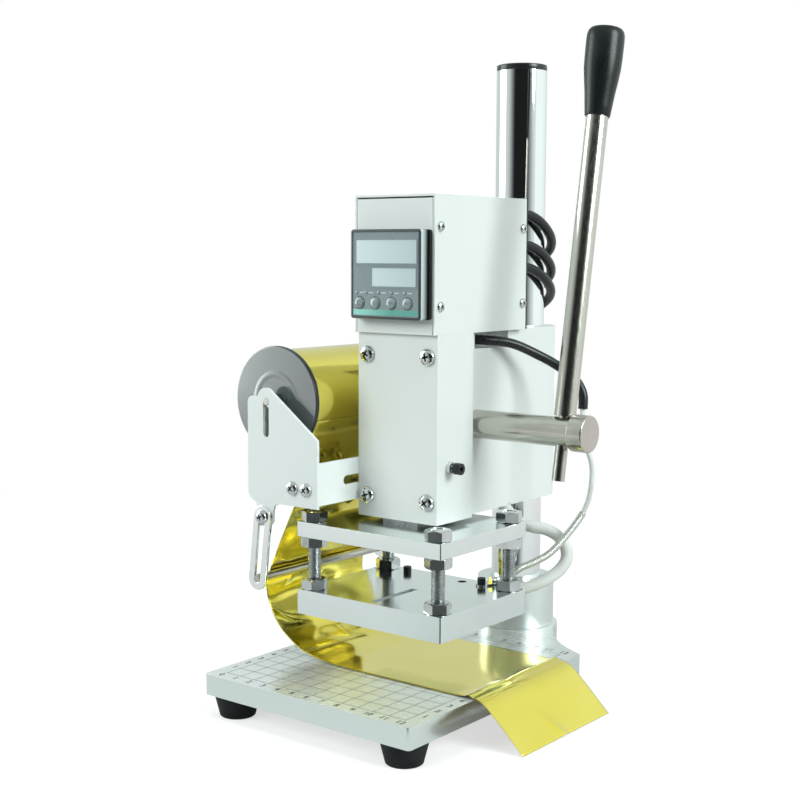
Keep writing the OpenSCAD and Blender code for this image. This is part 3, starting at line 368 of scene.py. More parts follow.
# %% Paint and metal
grained("white_paint", (0.815, 0.835, 0.83), (0.835, 0.85, 0.845), (0.295, 0.305), tone=12, grain=260,
        bump=(0.001, 0.01), Coat_Weight=0.15, Coat_Roughness=0.12)
grained("casting_paint", (0.81, 0.83, 0.825), (0.835, 0.85, 0.845), (0.353, 0.367), tone=12, grain=240,
        bump=(0.002, 0.01), Coat_Weight=0.1, Coat_Roughness=0.2)
grained("rolled_aluminium", (0.82, 0.87, 0.86), (0.86, 0.91, 0.9), (0.13, 0.17), tone=30, grain=400,
        bump=(0.0005, 0.005), stretch=(0.12, 1.6, 1.6), Metallic=1.0)
grained("turned_aluminium", (0.81, 0.86, 0.85), (0.87, 0.915, 0.905), (0.32, 0.4), tone=40, grain=800,
        bump=(0.03, 0.01), stretch=(0.3, 0.3, 3), Metallic=1.0)
grained("bright_chrome", (0.88, 0.895, 0.9), (0.91, 0.925, 0.93), (0.03, 0.06), tone=20, grain=300,
        bump=(0.005, 0.01), Metallic=1.0)
grained("satin_nickel", (0.52, 0.5, 0.45), (0.62, 0.6, 0.545), (0.17, 0.25), tone=40, bump=(0.004, 0.01),
        stretch=(1, 1, 0.2), Metallic=1.0)
grained("bright_zinc", (0.58, 0.6, 0.605), (0.7, 0.72, 0.725), (0.08, 0.15), tone=120, bump=(0.02, 0.01),
        Metallic=1.0)
grained("thread_zinc", (0.42, 0.44, 0.445), (0.56, 0.58, 0.585), (0.24, 0.34), tone=120, bump=(0.004, 0.01),
        Metallic=1.0)
grained("tool_steel", (0.30, 0.31, 0.32), (0.42, 0.43, 0.44), (0.25, 0.4), tone=90, Metallic=1.0)
grained("black_oxide", (0.018, 0.02, 0.022), (0.04, 0.042, 0.045), (0.3, 0.45), tone=160, grain=1200,
        Metallic=0.6)
grained("gib_brass", (0.62, 0.45, 0.18), (0.75, 0.58, 0.27), (0.25, 0.4), tone=80, grain=700, Metallic=1.0)
print("paint and metal:", len(FINISH), "finishes")

# %% [markdown]
# ## Rubber, plastic, glass and print
# The black pieces differ most in roughness: the grip shines, the feet do not. The reels have a hard gloss
# that mirrors the white room, so their clear coat is strong. The controller's windows, its teal print and
# the polished edge of its frame have painted light. Each is painted lighter at one end and darker at the
# other: a painted reflection on the glass and the print, and a painted highlight on the edge.

# %% Rubber, plastic, glass and print
grained("black_grip", (0.006, 0.008, 0.009), (0.011, 0.013, 0.014), (0.26, 0.36), tone=80, bump=(0.04, 0.03),
        Specular_IOR_Level=0.35)
grained("black_moulding", (0.010, 0.012, 0.014), (0.02, 0.022, 0.025), (0.2, 0.28), bump=(0.03, 0.02))
grained("black_rubber", (0.006, 0.007, 0.008), (0.013, 0.014, 0.015), (0.5, 0.66), tone=120,
        bump=(0.15, 0.06), Specular_IOR_Level=0.25)
grained("cable_jacket", (0.008, 0.009, 0.011), (0.016, 0.017, 0.019), (0.24, 0.36), tone=100,
        bump=(0.06, 0.03), Specular_IOR_Level=0.4)
grained("white_sleeve", (0.74, 0.745, 0.72), (0.84, 0.845, 0.825), (0.5, 0.66), tone=70, grain=1300,
        bump=(0.2, 0.08))
grained("foil_back", (0.53, 0.46, 0.22), (0.6, 0.53, 0.27), (0.3, 0.4), tone=40, grain=600,
        bump=(0.002, 0.01), Metallic=1.0)
grained("roll_card", (0.42, 0.31, 0.18), (0.55, 0.42, 0.27), (0.7, 0.85), tone=150, grain=1300,
        bump=(0.3, 0.1))
grained("controller_face", (0.235, 0.29, 0.31), (0.27, 0.325, 0.345), (0.2, 0.3), tone=30, grain=1500,
        bump=(0.05, 0.02))
grained("controller_frame", (0.035, 0.045, 0.05), (0.055, 0.066, 0.072), (0.25, 0.35), tone=50, grain=1500,
        bump=(0.01, 0.02), Coat_Weight=0.15, Coat_Roughness=0.1)
# painted reflection: the pale windows are painted lighter on the left and darker on the right
shaded("display_glass_painted_reflection", "X", (-20.4, 21.4), (0.785, 0.883, 0.907), (0.573, 0.682, 0.711), (0.06, 0.12),
       Coat_Weight=0.6, Coat_Roughness=0.05)
grained("flange_plastic", (0.042, 0.056, 0.061), (0.056, 0.072, 0.078), (0.17, 0.23), grain=700,
        bump=(0.01, 0.02), Specular_IOR_Level=1.0, Coat_Weight=1.0, Coat_Roughness=0.16, Coat_IOR=2.2)
# painted highlight: the sides of the dark frame are painted light at the front and dark at the back
shaded("controller_rim_painted_highlight", "Y", (-11.0, -6.9), (0.6, 0.68, 0.68), (0.05, 0.065, 0.07), (0.16, 0.26),
       Coat_Weight=0.4, Coat_Roughness=0.1)
grained("button_silver", (0.24, 0.285, 0.295), (0.33, 0.38, 0.39), (0.2, 0.3), tone=200, grain=1500,
        Metallic=0.3)
# the teal is the print's own colour; it is painted lighter towards the left, a painted reflection
shaded("teal_print_painted_reflection", "X", (-19.0, 4.0), (0.35, 0.74, 0.65), (0.12, 0.40, 0.345), (0.25, 0.36))
grained("printed_ink", (0.025, 0.028, 0.03), (0.05, 0.054, 0.056), (0.4, 0.55), tone=100, grain=1500)
grained("pale_print", (0.55, 0.6, 0.61), (0.63, 0.68, 0.69), (0.4, 0.5), tone=100, grain=1500)
print("finishes so far:", len(FINISH))

# %% [markdown]
# ## Cables as cords
# Eight flexible leads hang on the press. A cable is a fixed length of something that bends, so each one is
# a smooth line through the points of its route, with a round section. A Blender curve with a bevel gives
# that section; it is turned into a mesh tube, because the two leads that reach the moving plate have to
# bend between two bodies, and bending needs a mesh. The line's ends leave straight out of the gland or
# hole. The three cables of the box run side by side, so they share one plan and differ only in height.

# %% Routes of the cables
LOOP_PLAN = ((15, 87.5), (15.6, 93), (17.8, 101), (19.6, 109.5), (19.6, 118), (17.3, 126), (12.4, 132.7),
             (4.4, 137.4), (-5.8, 139.9), (-17.4, 137.4), (-26.2, 129.1), (-30.5, 118), (-33.5, 105),
             (-35.5, 94), (-33.5, 85), (-25, 80))
LOOP_SHARE = (0, 0, 0.015, 0.06, 0.125, 0.19, 0.255, 0.32, 0.385, 0.46, 0.555, 0.67, 0.8, 0.93, 1, 1)
LOOP_ENDS = {"box_cable_1": (250.5, 170), "box_cable_2": (232.5, 158), "box_cable_3": (219.5, 146)}
ROUTES = {
    "sensor_cable": ((8, 46, 178.5), (16, 49, 178.5), (22, 54, 178), (30, 66, 176), (38, 78, 170),
                     (47, 86, 163.5), (56, 90, 156.5), (61.5, 91, 148), (62.5, 90, 139)),
    "sensor_lead": ((62.5, 90, 139), (63, 89, 130), (66, 89, 118), (69, 90, 107.5), (69, 90, 97),
                    (66.8, 90.5, 87), (63.8, 90, 79.2)),
    "sensor_braid": ((63.8, 90, 79.2), (60, 83.5, 70), (53.5, 73, 58), (47, 65.5, 52.5), (41, 60, 49),
                     (36, 57.5, 44.8), (31.3, 50.9, 42.1)),
    "heater_lead": ((9, 74.7, 90), (18, 76, 81), (23, 76.8, 75.5), (29, 77.6, 71.5), (37, 78.5, 69.5),
                    (43, 82.5, 68.4), (49.5, 85.5, 65), (54.8, 86.2, 59), (56.5, 84.5, 52), (54.5, 79.5, 46),
                    (50, 72, 41), (43, 65, 37.5), (35.5, 60, 34.8), (29.5, 56.5, 33.3), (27.9, 52, 33)),
    "heater_jumper": ((-26.5, 52, 33), (-26, 58, 33), (-20, 63, 33), (0, 64, 33), (16, 63, 33), (22, 58, 33),
                      (22.8, 52, 33)),
}
for name, (top, foot) in LOOP_ENDS.items():
    ROUTES[name] = [(x, y, top + share * (foot - top)) for (x, y), share in zip(LOOP_PLAN, LOOP_SHARE)]
print("routes:", ", ".join(ROUTES))

# %% Helpers for lines and tubes


def smooth_line(points, steps=6):
    """A curve through the points, with a few steps in each stretch."""
    p = [mm(*q) for q in points]
    line = []
    for i in range(len(p) - 1):
        a, b, c, d = p[max(i - 1, 0)], p[i], p[i + 1], p[min(i + 2, len(p) - 1)]
        for t in (k / steps for k in range(steps)):
            line.append(0.5 * (2 * b + (c - a) * t + (2 * a - 5 * b + 4 * c - d) * t * t
                               + (3 * b - a - 3 * c + d) * t ** 3))
    return line + [p[-1]]


def smoothed(mesh, *finishes):
    """A mesh with smooth shading and its finishes."""
    for face in mesh.polygons:
        face.use_smooth = True
    for finish in finishes:
        mesh.materials.append(FINISH[finish])
    return mesh


def tube_on(name, line, thick, finish, rings=6):
    """A round mesh tube along a line, made from a bevelled curve."""
    data = bpy.data.curves.new(name, "CURVE")
    data.dimensions = "3D"
    data.bevel_depth, data.bevel_resolution = thick / 2 * MM, rings
    data.use_fill_caps = True
    spline = data.splines.new("POLY")
    spline.points.add(len(line) - 1)
    for point, place in zip(spline.points, line):
        point.co = (*place, 1)
    mesh = frozen(linked(name + "_line", data))
    mesh.name = name
    return linked(name, smoothed(mesh, finish))


# %% [markdown]
# ## What the cables are made of
# Three black jackets go from the box round the column to the head. A black cable leaves the neck on the
# right and becomes a thin pale lead, which ends in a braided steel sleeve at the plate. The heater's leads
# have a white glass sleeve. The braid and the sleeve are woven, so their pattern has to follow the tube: it
# reads the tube's own UV map, which the bevelled curve makes, with one direction along the lead and the
# other round it.

# %% Woven finishes


def woven(name, dark, light, rough, along, round_it, depth, **constants):
    """Two sets of strands that cross, on the tube's own UV map."""
    tree, shader = start_finish(name, constants)
    uv = fed(tree, "UVMap").outputs["UV"]
    waves = []
    for lean in (1, -1):
        mapped = fed(tree, "Mapping", {"Vector": uv, "Scale": (along, lean * round_it, 1)}).outputs["Vector"]
        wave = fed(tree, "TexWave", {"Vector": mapped, "Scale": 1.0}, bands_direction="DIAGONAL")
        waves.append(wave.outputs["Fac"])
    strands = worked(tree, "MAXIMUM", *waves)
    plug(tree, shader, {"Base Color": two_tone(tree, strands, dark, light, 0.35, 0.95),
                        "Roughness": spread_of(tree, strands, rough[1], rough[0], 0.3, 1),
                        "Normal": bumped(tree, strands, 0.6, depth)})


woven("braided_steel", (0.36, 0.355, 0.33), (0.82, 0.81, 0.77), (0.25, 0.5), 60, 4, 0.3, Metallic=0.85)
woven("glass_sleeve", (0.66, 0.665, 0.64), (0.86, 0.865, 0.85), (0.5, 0.7), 90, 5, 0.2)
print("woven finishes made")

# %% Lay the cables
CABLES = {
    **{name: (5.7, "cable_jacket", "black_rubber", "stiff", "loose") for name in LOOP_ENDS},
    "sensor_cable": (5.5, "cable_jacket", "black_rubber", "medium", "hanging"),
    "sensor_lead": (3.0, "white_sleeve", "white_sleeve", "medium", "hanging"),
    "sensor_braid": (4.0, "braided_steel", "braid_steel", "medium", "hanging"),
    "heater_lead": (7.0, "glass_sleeve", "white_sleeve", "limp", "loose"),
    "heater_jumper": (2.4, "glass_sleeve", "white_sleeve", "limp", "loose"),
}
BENDS = {"sensor_braid", "heater_lead"}
for name, (thick, finish, slot, stiffness, lay) in CABLES.items():
    line = smooth_line(ROUTES[name])
    length = sum((b - a).length for a, b in zip(line, line[1:]))
    cable = tube_on("cord_" + name, line, thick, finish)
    node = "box_cables" if name in LOOP_ENDS else name
    if name in BENDS:
        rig.blend(cable, "head", "ram", start=line[0], end=line[-1])
    else:
        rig.ride(cable, NODES[node]["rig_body"])
    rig.replaces(cable, node)
    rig.slot(cable, slot)
    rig.cord(cable, exit=line[0], length=length, diameter=thick * MM, far_end="object", stiffness=stiffness,
            lay=lay, path=line)
    print("cord", name, round(length, 3), "m")

# %% [markdown]
# ## Eased copies of the solids
# The solids have the right shape and sharp edges. Real edges are broken by a file, a fold or a coat of
# paint, and that thin band catches the light all round a plate. A copy of the solid is merged, its flat
# faces are dissolved back from triangles, and the outer edges get a narrow bevel. A weighted-normal
# modifier then keeps the big faces flat in shading while the bevels stay round.

# %% Helpers for pieces and eased copies
EDGE_TURN = math.radians(40)
FLAT_TURN = math.radians(0.8)


def add_piece(name, bm, finish, body, stands_for=(), slot=None, sharp=35, weighted=False):
    """Makes a shape a piece of the press, on its body, in place of the solids it stands for."""
    mesh = smoothed(mesh_of(name, bm), finish)
    mesh.set_sharp_from_angle(angle=math.radians(sharp))
    piece = linked(name, mesh)
    if weighted:
        evened = piece.modifiers.new("even_shading", "WEIGHTED_NORMAL")
        evened.keep_sharp = True
    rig.ride(piece, body)
    if stands_for:
        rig.replaces(piece, *stands_for)
    if slot:
        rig.slot(piece, slot)
    return piece


def merged(node):
    """A copy of a solid's mesh, merged, with its flat faces whole again."""
    bm = bmesh.new()
    bm.from_mesh(NODES[node].data)
    bmesh.ops.remove_doubles(bm, verts=bm.verts, dist=1e-6)
    bmesh.ops.dissolve_limit(bm, angle_limit=FLAT_TURN, verts=bm.verts, edges=bm.edges)
    return bm


def rounded(bm, edges, width, segments):
    """Gives some edges of a shape a round bevel."""
    bmesh.ops.bevel(bm, geom=edges, offset=width * MM, offset_type="OFFSET", segments=segments, profile=0.5,
                    affect="EDGES", clamp_overlap=True, material=-1)
    return bm


def ease(bm, width, segments=2, where=lambda edge: True):
    """Rounds the outer edges where the surface turns sharply."""
    edges = [e for e in bm.edges if e.is_manifold and e.is_convex and e.calc_face_angle() > EDGE_TURN
             and where(e)]
    return rounded(bm, edges, width, segments)


def eased(node, width, finish, slot, segments=2):
    """An eased copy of a solid, as a piece that stands for it."""
    bm = ease(merged(node), width, segments)
    piece = add_piece(node + "_eased", bm, finish, NODES[node]["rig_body"], [node], slot, weighted=True)
    print("eased", node, len(piece.data.polygons), "faces")
    return piece


# %% Eased sheet metal, castings and plates
for node, width, finish, slot in (
        ("head_body", 0.8, "casting_paint", "white_casting"),
        ("front_cover", 0.5, "white_paint", "white_paint"),
        ("bracket_front", 0.3, "white_paint", "white_paint"),
        ("bracket_rear", 0.3, "white_paint", "white_paint"),
        ("bracket_cross", 0.3, "white_paint", "white_paint"),
        ("upper_plate", 0.45, "rolled_aluminium", "plate_aluminium"),
        ("heater_plate", 0.5, "rolled_aluminium", "plate_aluminium"),
        ("column_seat", 0.6, "turned_aluminium", "plate_aluminium"),
        ("guide_links", 0.45, "bright_chrome", "nickel"),
        ("column_cap", 0.7, "black_moulding", "black_plastic"),
        ("shaft_collar", 0.8, "satin_nickel", "nickel"),
        ("mains_inlet", 0.4, "black_moulding", "black_plastic"),
        ("cable_glands", 0.5, "black_moulding", "black_plastic"),
        ("clamp_bolts", 0.6, "bright_zinc", "zinc_steel")):
    eased(node, width, finish, slot)

# %% [markdown]
# ## Groove of the heated plate
# A narrow groove is cut in the top of the heated plate. A cutter leaves a duller face than the rolling
# mill, so the groove needs a finish of its own. A second material on the same mesh is enough: the faces are
# picked out by the box that they lie in.

# %% Groove of the heated plate
GROOVE_LOW, GROOVE_HIGH = (-0.1, -24.1, 37.8), (4.1, 13.1, 39.7)


def second_finish(piece, finish, chosen):
    """Gives the chosen faces of a piece another finish."""
    piece.data.materials.append(FINISH[finish])
    for face in piece.data.polygons:
        if chosen(face):
            face.material_index = len(piece.data.materials) - 1


def in_groove(face):
    """Whether a face of the plate lies in the groove's box."""
    return all(low * MM < x < high * MM for low, x, high in zip(GROOVE_LOW, face.center, GROOVE_HIGH))


plate = bpy.data.objects["heater_plate_eased"]
second_finish(plate, "turned_aluminium", in_groove)
print("groove faces", sum(face.material_index for face in plate.data.polygons))

# %% [markdown]
# ## Seams of the control box
# The box is folded sheet: a cover over a chassis. Where they meet, a real box has a thin dark gap, so the
# front panel is drawn a little shorter and narrower than its opening. The rear panel is dark, and its edge
# shows as a line along the back of the cover: that band is cut off with a plane and given the dark finish.

# %% Box cover and chassis
PANEL_Y, PANEL_TOP, PANEL_SIDE = -3.2, 250, 25.9
TOP_SEAM, SIDE_SEAM = 0.75, 0.3
REAR_BAND = 83.2
bm = merged("box_chassis")
for vert in bm.verts:
    if vert.co.y < PANEL_Y * MM:
        if vert.co.z > PANEL_TOP * MM:
            vert.co.z -= TOP_SEAM * MM
        if abs(vert.co.x) > PANEL_SIDE * MM:
            vert.co.x -= math.copysign(SIDE_SEAM * MM, vert.co.x)
chassis = add_piece("box_chassis_eased", ease(bm, 0.3), "white_paint", "head", ["box_chassis"], "white_paint",
                    weighted=True)
bm = ease(merged("box_cover"), 0.4)
bmesh.ops.bisect_plane(bm, geom=bm.verts[:] + bm.edges[:] + bm.faces[:], plane_co=mm(0, REAR_BAND, 0),
                       plane_no=(0, 1, 0))
cover = add_piece("box_cover_eased", bm, "white_paint", "head", ["box_cover"], "white_paint", weighted=True)
for piece in (chassis, cover):
    second_finish(piece, "black_oxide", lambda face: face.center.y > REAR_BAND * MM)
print("box", len(chassis.data.polygons), len(cover.data.polygons), "faces")

# %% [markdown]
# ## Set screw of the gib
# The gib takes up the play of the ram, and a set screw on the right presses on it. The screw is black and
# its lock nut bright. Both are in one mesh, so the faces nearer the head, which are the nut's, get the
# bright finish.

# %% Set screw of the gib
LOCK_NUT_X = 29.9
screw = add_piece("gib_screws_eased", ease(merged("gib_screws"), 0.3), "black_oxide", "head", ["gib_screws"],
                  "black_steel", weighted=True)
second_finish(screw, "bright_zinc", lambda face: face.center.x < LOCK_NUT_X * MM)
print("set screw", len(screw.data.polygons), "faces")

# %% [markdown]
# ## Solids that stay
# Bars, pins and the pieces inside the head have the right shape already. They keep their solids and only
# get a finish.

# %% Finishes of the solids that stay


def dress(finish, *solids):
    """Gives solids a finish and leaves their shape alone."""
    for node in solids:
        NODES[node].data.materials.clear()
        NODES[node].data.materials.append(FINISH[finish])
    print(finish, "on", ", ".join(solids))


dress("bright_chrome", "column_tube")
dress("satin_nickel", "pinion_shaft", "lever_rod", "guide_rod", "roll_spindle")
dress("bright_zinc", "spindle_nuts", "spring_pin", "sensor_lug")
dress("tool_steel", "ram", "pinion", "pinion_key", "ram_bolts", "shaft_clip", "heater_cartridges")
dress("black_oxide", "plate_screws")
dress("gib_brass", "gib_strip")
dress("black_moulding", "controller_case")
# the windows' finish holds a painted reflection, lighter on the left and darker on the right
dress("display_glass_painted_reflection", "display_windows")
dress("roll_card", "roll_core")

# %% [markdown]
# ## The gridded table
# The table is a thick plate with a printed grid and a scale along each side. The lines are ink, so they
# belong in the finish: two distances to the nearest line, from the Object coordinates, give a mask that
# turns bright metal into dull grey ink. The top is brushed, so it mirrors only in part. The numbers are
# text turned into flat meshes, laid on the plate.

# %% Table finish
GRID_PITCH = 10.22
GRID_HALF = (6 * GRID_PITCH, 7 * GRID_PITCH)
LINE_WIDTH = 0.5
INK = (0.09, 0.095, 0.095, 1)
TOP_METAL, INK_METAL = 0.6, 0.1
INK_ROUGHNESS = 0.2


def grid_mask(tree, where):
    """1 on the printed lines and 0 beside them."""
    split = fed(tree, "SeparateXYZ", {"Vector": where})
    near, inside = [], []
    for axis, half in zip("XY", GRID_HALF):
        shifted = worked(tree, "ADD", split.outputs[axis], half * MM)
        off = worked(tree, "PINGPONG", shifted, GRID_PITCH / 2 * MM)
        near.append(spread_of(tree, off, 1, 0, LINE_WIDTH * 0.35 * MM, LINE_WIDTH * 0.65 * MM))
        reach = worked(tree, "ABSOLUTE", split.outputs[axis])
        inside.append(worked(tree, "LESS_THAN", reach, (half + LINE_WIDTH / 2) * MM))
    return worked(tree, "MULTIPLY", worked(tree, "MAXIMUM", *near), worked(tree, "MULTIPLY", *inside))


tree, shader = start_finish("gridded_top", {})
where = fed(tree, "TexCoord").outputs["Object"]
mask = grid_mask(tree, where)
streaks = noise_at(tree, where, 160, 3.0, (0.12, 1.6, 1))
metal = two_tone(tree, streaks, (0.79, 0.81, 0.805), (0.84, 0.86, 0.855))
inked = fed(tree, "Mix", {"Factor": mask, "A": metal, "B": INK}, data_type="RGBA")
brushed = spread_of(tree, streaks, 0.23, 0.28)
plug(tree, shader, {"Base Color": inked.outputs["Result"],
                    "Metallic": spread_of(tree, mask, TOP_METAL, INK_METAL, 0, 1),
                    "Roughness": worked(tree, "ADD", brushed, worked(tree, "MULTIPLY", mask, INK_ROUGHNESS)),
                    "Normal": bumped(tree, streaks, 0.0005, 0.005)})
print("grid of", [round(2 * half, 1) for half in GRID_HALF], "mm")

# %% Table plate
TOP_EDGE, UNDER_EDGE = -0.1, -11.4


def on_top_or_under(edge):
    """Whether an edge lies on the table's top or its underside."""
    low = min(vert.co.z for vert in edge.verts)
    return low < UNDER_EDGE * MM or low > TOP_EDGE * MM


bm = ease(merged("base_plate"), 0.5, where=on_top_or_under)
table = add_piece("table_plate", bm, "rolled_aluminium", "base", ["base_plate"], "plate_aluminium",
                  weighted=True)
second_finish(table, "gridded_top", lambda face: face.normal.z > 0.99 and face.center.z > TOP_EDGE * MM)
print("table plate", len(table.data.polygons), "faces")

# %% Table numbers
NUMBER_SIZE, NUMBER_WEIGHT, NUMBER_LIFT = 5.4, 0.09, 0.03
SCALE_X, SCALE_Y = 65.6, 75.7


def numbers():
    """Each number of the four scales with the place of its middle."""
    for k in range(13):
        for y in (-SCALE_Y, SCALE_Y):
            yield str(k), (k - 6) * GRID_PITCH, y
    for k in range(1, 14):
        for x in (-SCALE_X, SCALE_X):
            yield str(k), x, (k - 7) * GRID_PITCH


bm = bmesh.new()
for digits, x, y in numbers():
    data = bpy.data.curves.new("number", "FONT")
    data.body, data.size = digits, NUMBER_SIZE * MM
    data.align_x, data.align_y = "CENTER", "CENTER"
    data.resolution_u = 3
    data.offset = NUMBER_WEIGHT * MM
    mesh = frozen(linked("number", data))
    start = len(bm.verts)
    bm.from_mesh(mesh)
    bm.verts.ensure_lookup_table()
    bmesh.ops.translate(bm, vec=mm(x, y, NUMBER_LIFT), verts=bm.verts[start:])
    bpy.data.meshes.remove(mesh)
printed = add_piece("table_numbers", bm, "printed_ink", "base")
print("numbers", len(printed.data.polygons), "faces")

# %% [markdown]
# ## Turned pieces
# Feet, grip, screw heads and buttons are round about an axis. Each is a profile of radius and height, spun
# once round. The spin meets itself, so the seam is merged, the pole closes, and the normals are worked out
# again.

# %% Helpers for turned and repeated shapes


def spun(profile, steps=48, closed=False):
    """A profile of (radius, height) points, spun about Z."""
    bm = bmesh.new()
    verts = [bm.verts.new((r * MM, 0, z * MM)) for r, z in profile]
    pairs = list(zip(verts, verts[1:])) + ([(verts[-1], verts[0])] if closed else [])
    edges = [bm.edges.new(pair) for pair in pairs]
    bmesh.ops.spin(bm, geom=verts + edges, cent=(0, 0, 0), axis=(0, 0, 1), dvec=(0, 0, 0), angle=math.tau,
                   steps=steps, use_merge=True, use_normal_flip=False, use_duplicate=False)
    bmesh.ops.remove_doubles(bm, verts=bm.verts, dist=1e-7)
    bmesh.ops.recalc_face_normals(bm, faces=bm.faces)
    return bm


def copies(bm, places):
    """One shape with a copy of another at each place."""
    part = mesh_of("part", bm)
    whole = bmesh.new()
    for place in places:
        start = len(whole.verts)
        whole.from_mesh(part)
        whole.verts.ensure_lookup_table()
        bmesh.ops.transform(whole, matrix=place, verts=whole.verts[start:])
    bpy.data.meshes.remove(part)
    return whole


def pointing(place, way, turn=0):
    """A matrix that lays +Z along a direction at a place, after a turn about Z."""
    return (Matrix.Translation(mm(*place)) @ Vector(way).to_track_quat("Z", "Y").to_matrix().to_4x4()
            @ Matrix.Rotation(math.radians(turn), 4, "Z"))


def carved(bm, tool, kind):
    """One shape cut by another, or kept only inside it."""
    kept, cutter = (linked("part", mesh_of("part", shape)) for shape in (bm, tool))
    cut = kept.modifiers.new("cut", "BOOLEAN")
    cut.operation, cut.solver, cut.object = kind, "EXACT", cutter
    mesh = frozen(kept)
    bpy.data.objects.remove(cutter)
    whole = bmesh.new()
    whole.from_mesh(mesh)
    bpy.data.meshes.remove(mesh)
    return whole


# %% Rubber feet
FEET = [(x, y) for x in (-57.5, 57.5) for y in (-67.5, 67.5)]
FOOT = ((2.55, -11.5), (12.1, -11.5), (12.4, -11.7), (12.45, -12.2), (9.95, -21.9), (9.7, -22.9),
        (9.2, -23.35), (8.6, -23.5), (6.1, -23.5), (5.6, -23.2), (5.5, -22.7), (5.5, -17.5), (2.55, -17.5))
bm = copies(spun(FOOT, 40, closed=True), [Matrix.Translation(mm(x, y, 0)) for x, y in FEET])
add_piece("moulded_feet", bm, "black_rubber", "base", ["rubber_feet"], "black_rubber", sharp=50)
print("feet", len(FEET))

# %% Lever grip
LEVER_FRAME = Matrix.Translation(mm(79, 42, 132)) @ Matrix.Rotation(math.radians(-10), 4, "X")
GRIP = ((6.1, 171), (6.6, 171), (6.9, 171.4), (7.4, 176), (8.3, 184), (9.3, 191), (10, 197), (10.25, 203),
        (10.35, 213), (10.2, 215.6), (9.7, 217.5), (8.8, 218.6), (7.6, 219), (0, 219))
GRIP_BORE = ((0, 205), (6.1, 205))
bm = spun(GRIP + GRIP_BORE)
bmesh.ops.holes_fill(bm, edges=bm.edges, sides=0)
bmesh.ops.transform(bm, matrix=LEVER_FRAME, verts=bm.verts)
grip = add_piece("moulded_grip", bm, "black_grip", "lever", ["lever_grip"], "black_plastic", sharp=60)
print("grip", len(grip.data.polygons), "faces")

# %% [markdown]
# ## Fasteners
# Pan-head screws with a cross recess hold the cover, the box and the foil holder. One head is spun, a
# tapered cross is cut into it with a boolean, and the result is copied to all places. Nuts are six-sided
# bars kept inside a lens, which is what the turning tool leaves on a real nut, and each is turned a little
# differently, as a spanner leaves it. The studs have a real thread: a small profile spun many times round
# while it climbs.

# %% Pan-head screws


def pan_screw(shank, head, height, length):
    """A screw with its head above the origin. Faces of the cross recess have the second finish."""
    dome = ((0, 1), (0.4, 0.98), (0.66, 0.9), (0.86, 0.72), (0.97, 0.46), (1, 0.2), (1, 0))
    profile = [(r * head, z * height) for r, z in dome] + [(shank, 0), (shank, -length), (0, -length)]
    cross = bmesh.new()
    a, b = 0.56 * head * MM, 0.13 * head * MM
    ring = ((a, -b), (a, b), (b, b), (b, a), (-b, a), (-b, b), (-a, b), (-a, -b), (-b, -b), (-b, -a), (b, -a),
            (b, -b))
    face = cross.faces.new([cross.verts.new((x, y, 1.2 * height * MM)) for x, y in ring])
    deep = bmesh.ops.extrude_face_region(cross, geom=[face])
    low = [v for v in deep["geom"] if isinstance(v, bmesh.types.BMVert)]
    bmesh.ops.translate(cross, vec=(0, 0, -0.95 * height * MM), verts=low)
    bmesh.ops.scale(cross, vec=(0.45, 0.45, 1), verts=low)
    bmesh.ops.recalc_face_normals(cross, faces=cross.faces)
    bm = carved(spun(profile, 32), cross, "DIFFERENCE")
    for face in bm.faces:
        middle = face.calc_center_median()
        if 0.2 * height * MM < middle.z < 0.8 * height * MM and middle.to_2d().length < 0.6 * head * MM:
            face.material_index = 1
    return bm


FRONT, REAR, LEFT, DOWN = (0, -1, 0), (0, 1, 0), (-1, 0, 0), (0, 0, -1)
SEAT_Y, SEAT_REACH = 118, 19.28
SCREWS = {
    "cover_screws": ((2.5, 4.75, 2.7, 15), [((x, -1.5, z), FRONT, turn) for x, z, turn in (
        (-20.65, 92.9, 20), (20.65, 92.9, 40), (-20.65, 171.6, 60), (20.65, 171.6, 12))]),
    "box_screws": ((1.5, 2.9, 1.7, 4), [((side * 27.25, y, z), (side, 0, 0), 30 * y + z) for side in (-1, 1)
                                        for y in (0.5, 79.5) for z in (198.5, 240.9)]),
    "bracket_screws": ((2, 3.9, 2.4, 6), [((x, -37, 98.5), FRONT, 9 * x) for x in (-44.6, -34.7)]
                       + [((x, 71, 98.5), REAR, 7 * x) for x in (-44.6, -34.7)]
                       + [((-28.9, y, 101.75), LEFT, 5 * y) for y in (6, 22)]
                       + [((-66, -39, 80.3), FRONT, 25), ((-66, 73, 80.3), REAR, 70)]),
    "base_screws": ((2.5, 4.75, 2.7, 15), [((x, y, -17.5), DOWN, x) for x, y in FEET]
                    + [((SEAT_REACH * math.cos(math.radians(a)),
                         SEAT_Y + SEAT_REACH * math.sin(math.radians(a)), -6), DOWN, a)
                       for a in (90, 210, 330)]),
}
for node, (sizes, places) in SCREWS.items():
    bm = copies(pan_screw(*sizes), [pointing(*place) for place in places])
    piece = add_piece(node + "_cross", bm, "bright_zinc", NODES[node]["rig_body"], [node], "zinc_steel",
                      sharp=40)
    piece.data.materials.append(FINISH["black_oxide"])
    print(node, len(places), "screws")

# %% Nuts
STUD_X, STUD_FRONT, STUD_REAR = 43, -21, 45
STUDS = [(x, y) for x in (-STUD_X, STUD_X) for y in (STUD_FRONT, STUD_REAR)]
NUT_LEVELS = ((78.3, -9), (63.8, 2), (39.9, 14))
NUT_HIGH, NUT_REACH = 6, 7.5
NUT_LENS = ((0, 0), (6.2, 0), (7.7, 0.85), (7.7, 5.15), (6.2, NUT_HIGH), (0, NUT_HIGH))
NUT_BORE = ((0, -1), (4.6, -1), (3.85, 0.7), (3.85, 5.3), (4.6, 7), (0, 7))
TURN_BY_X, TURN_BY_Y = 0.17, 0.4


def nut_places():
    """Where each nut sits on its stud, and how it is turned."""
    for x, y in STUDS:
        for z, turn in NUT_LEVELS:
            turn += TURN_BY_X * (STUD_X - x) + TURN_BY_Y * (y - STUD_FRONT)
            yield pointing((x, y, z), (0, 0, 1), turn)


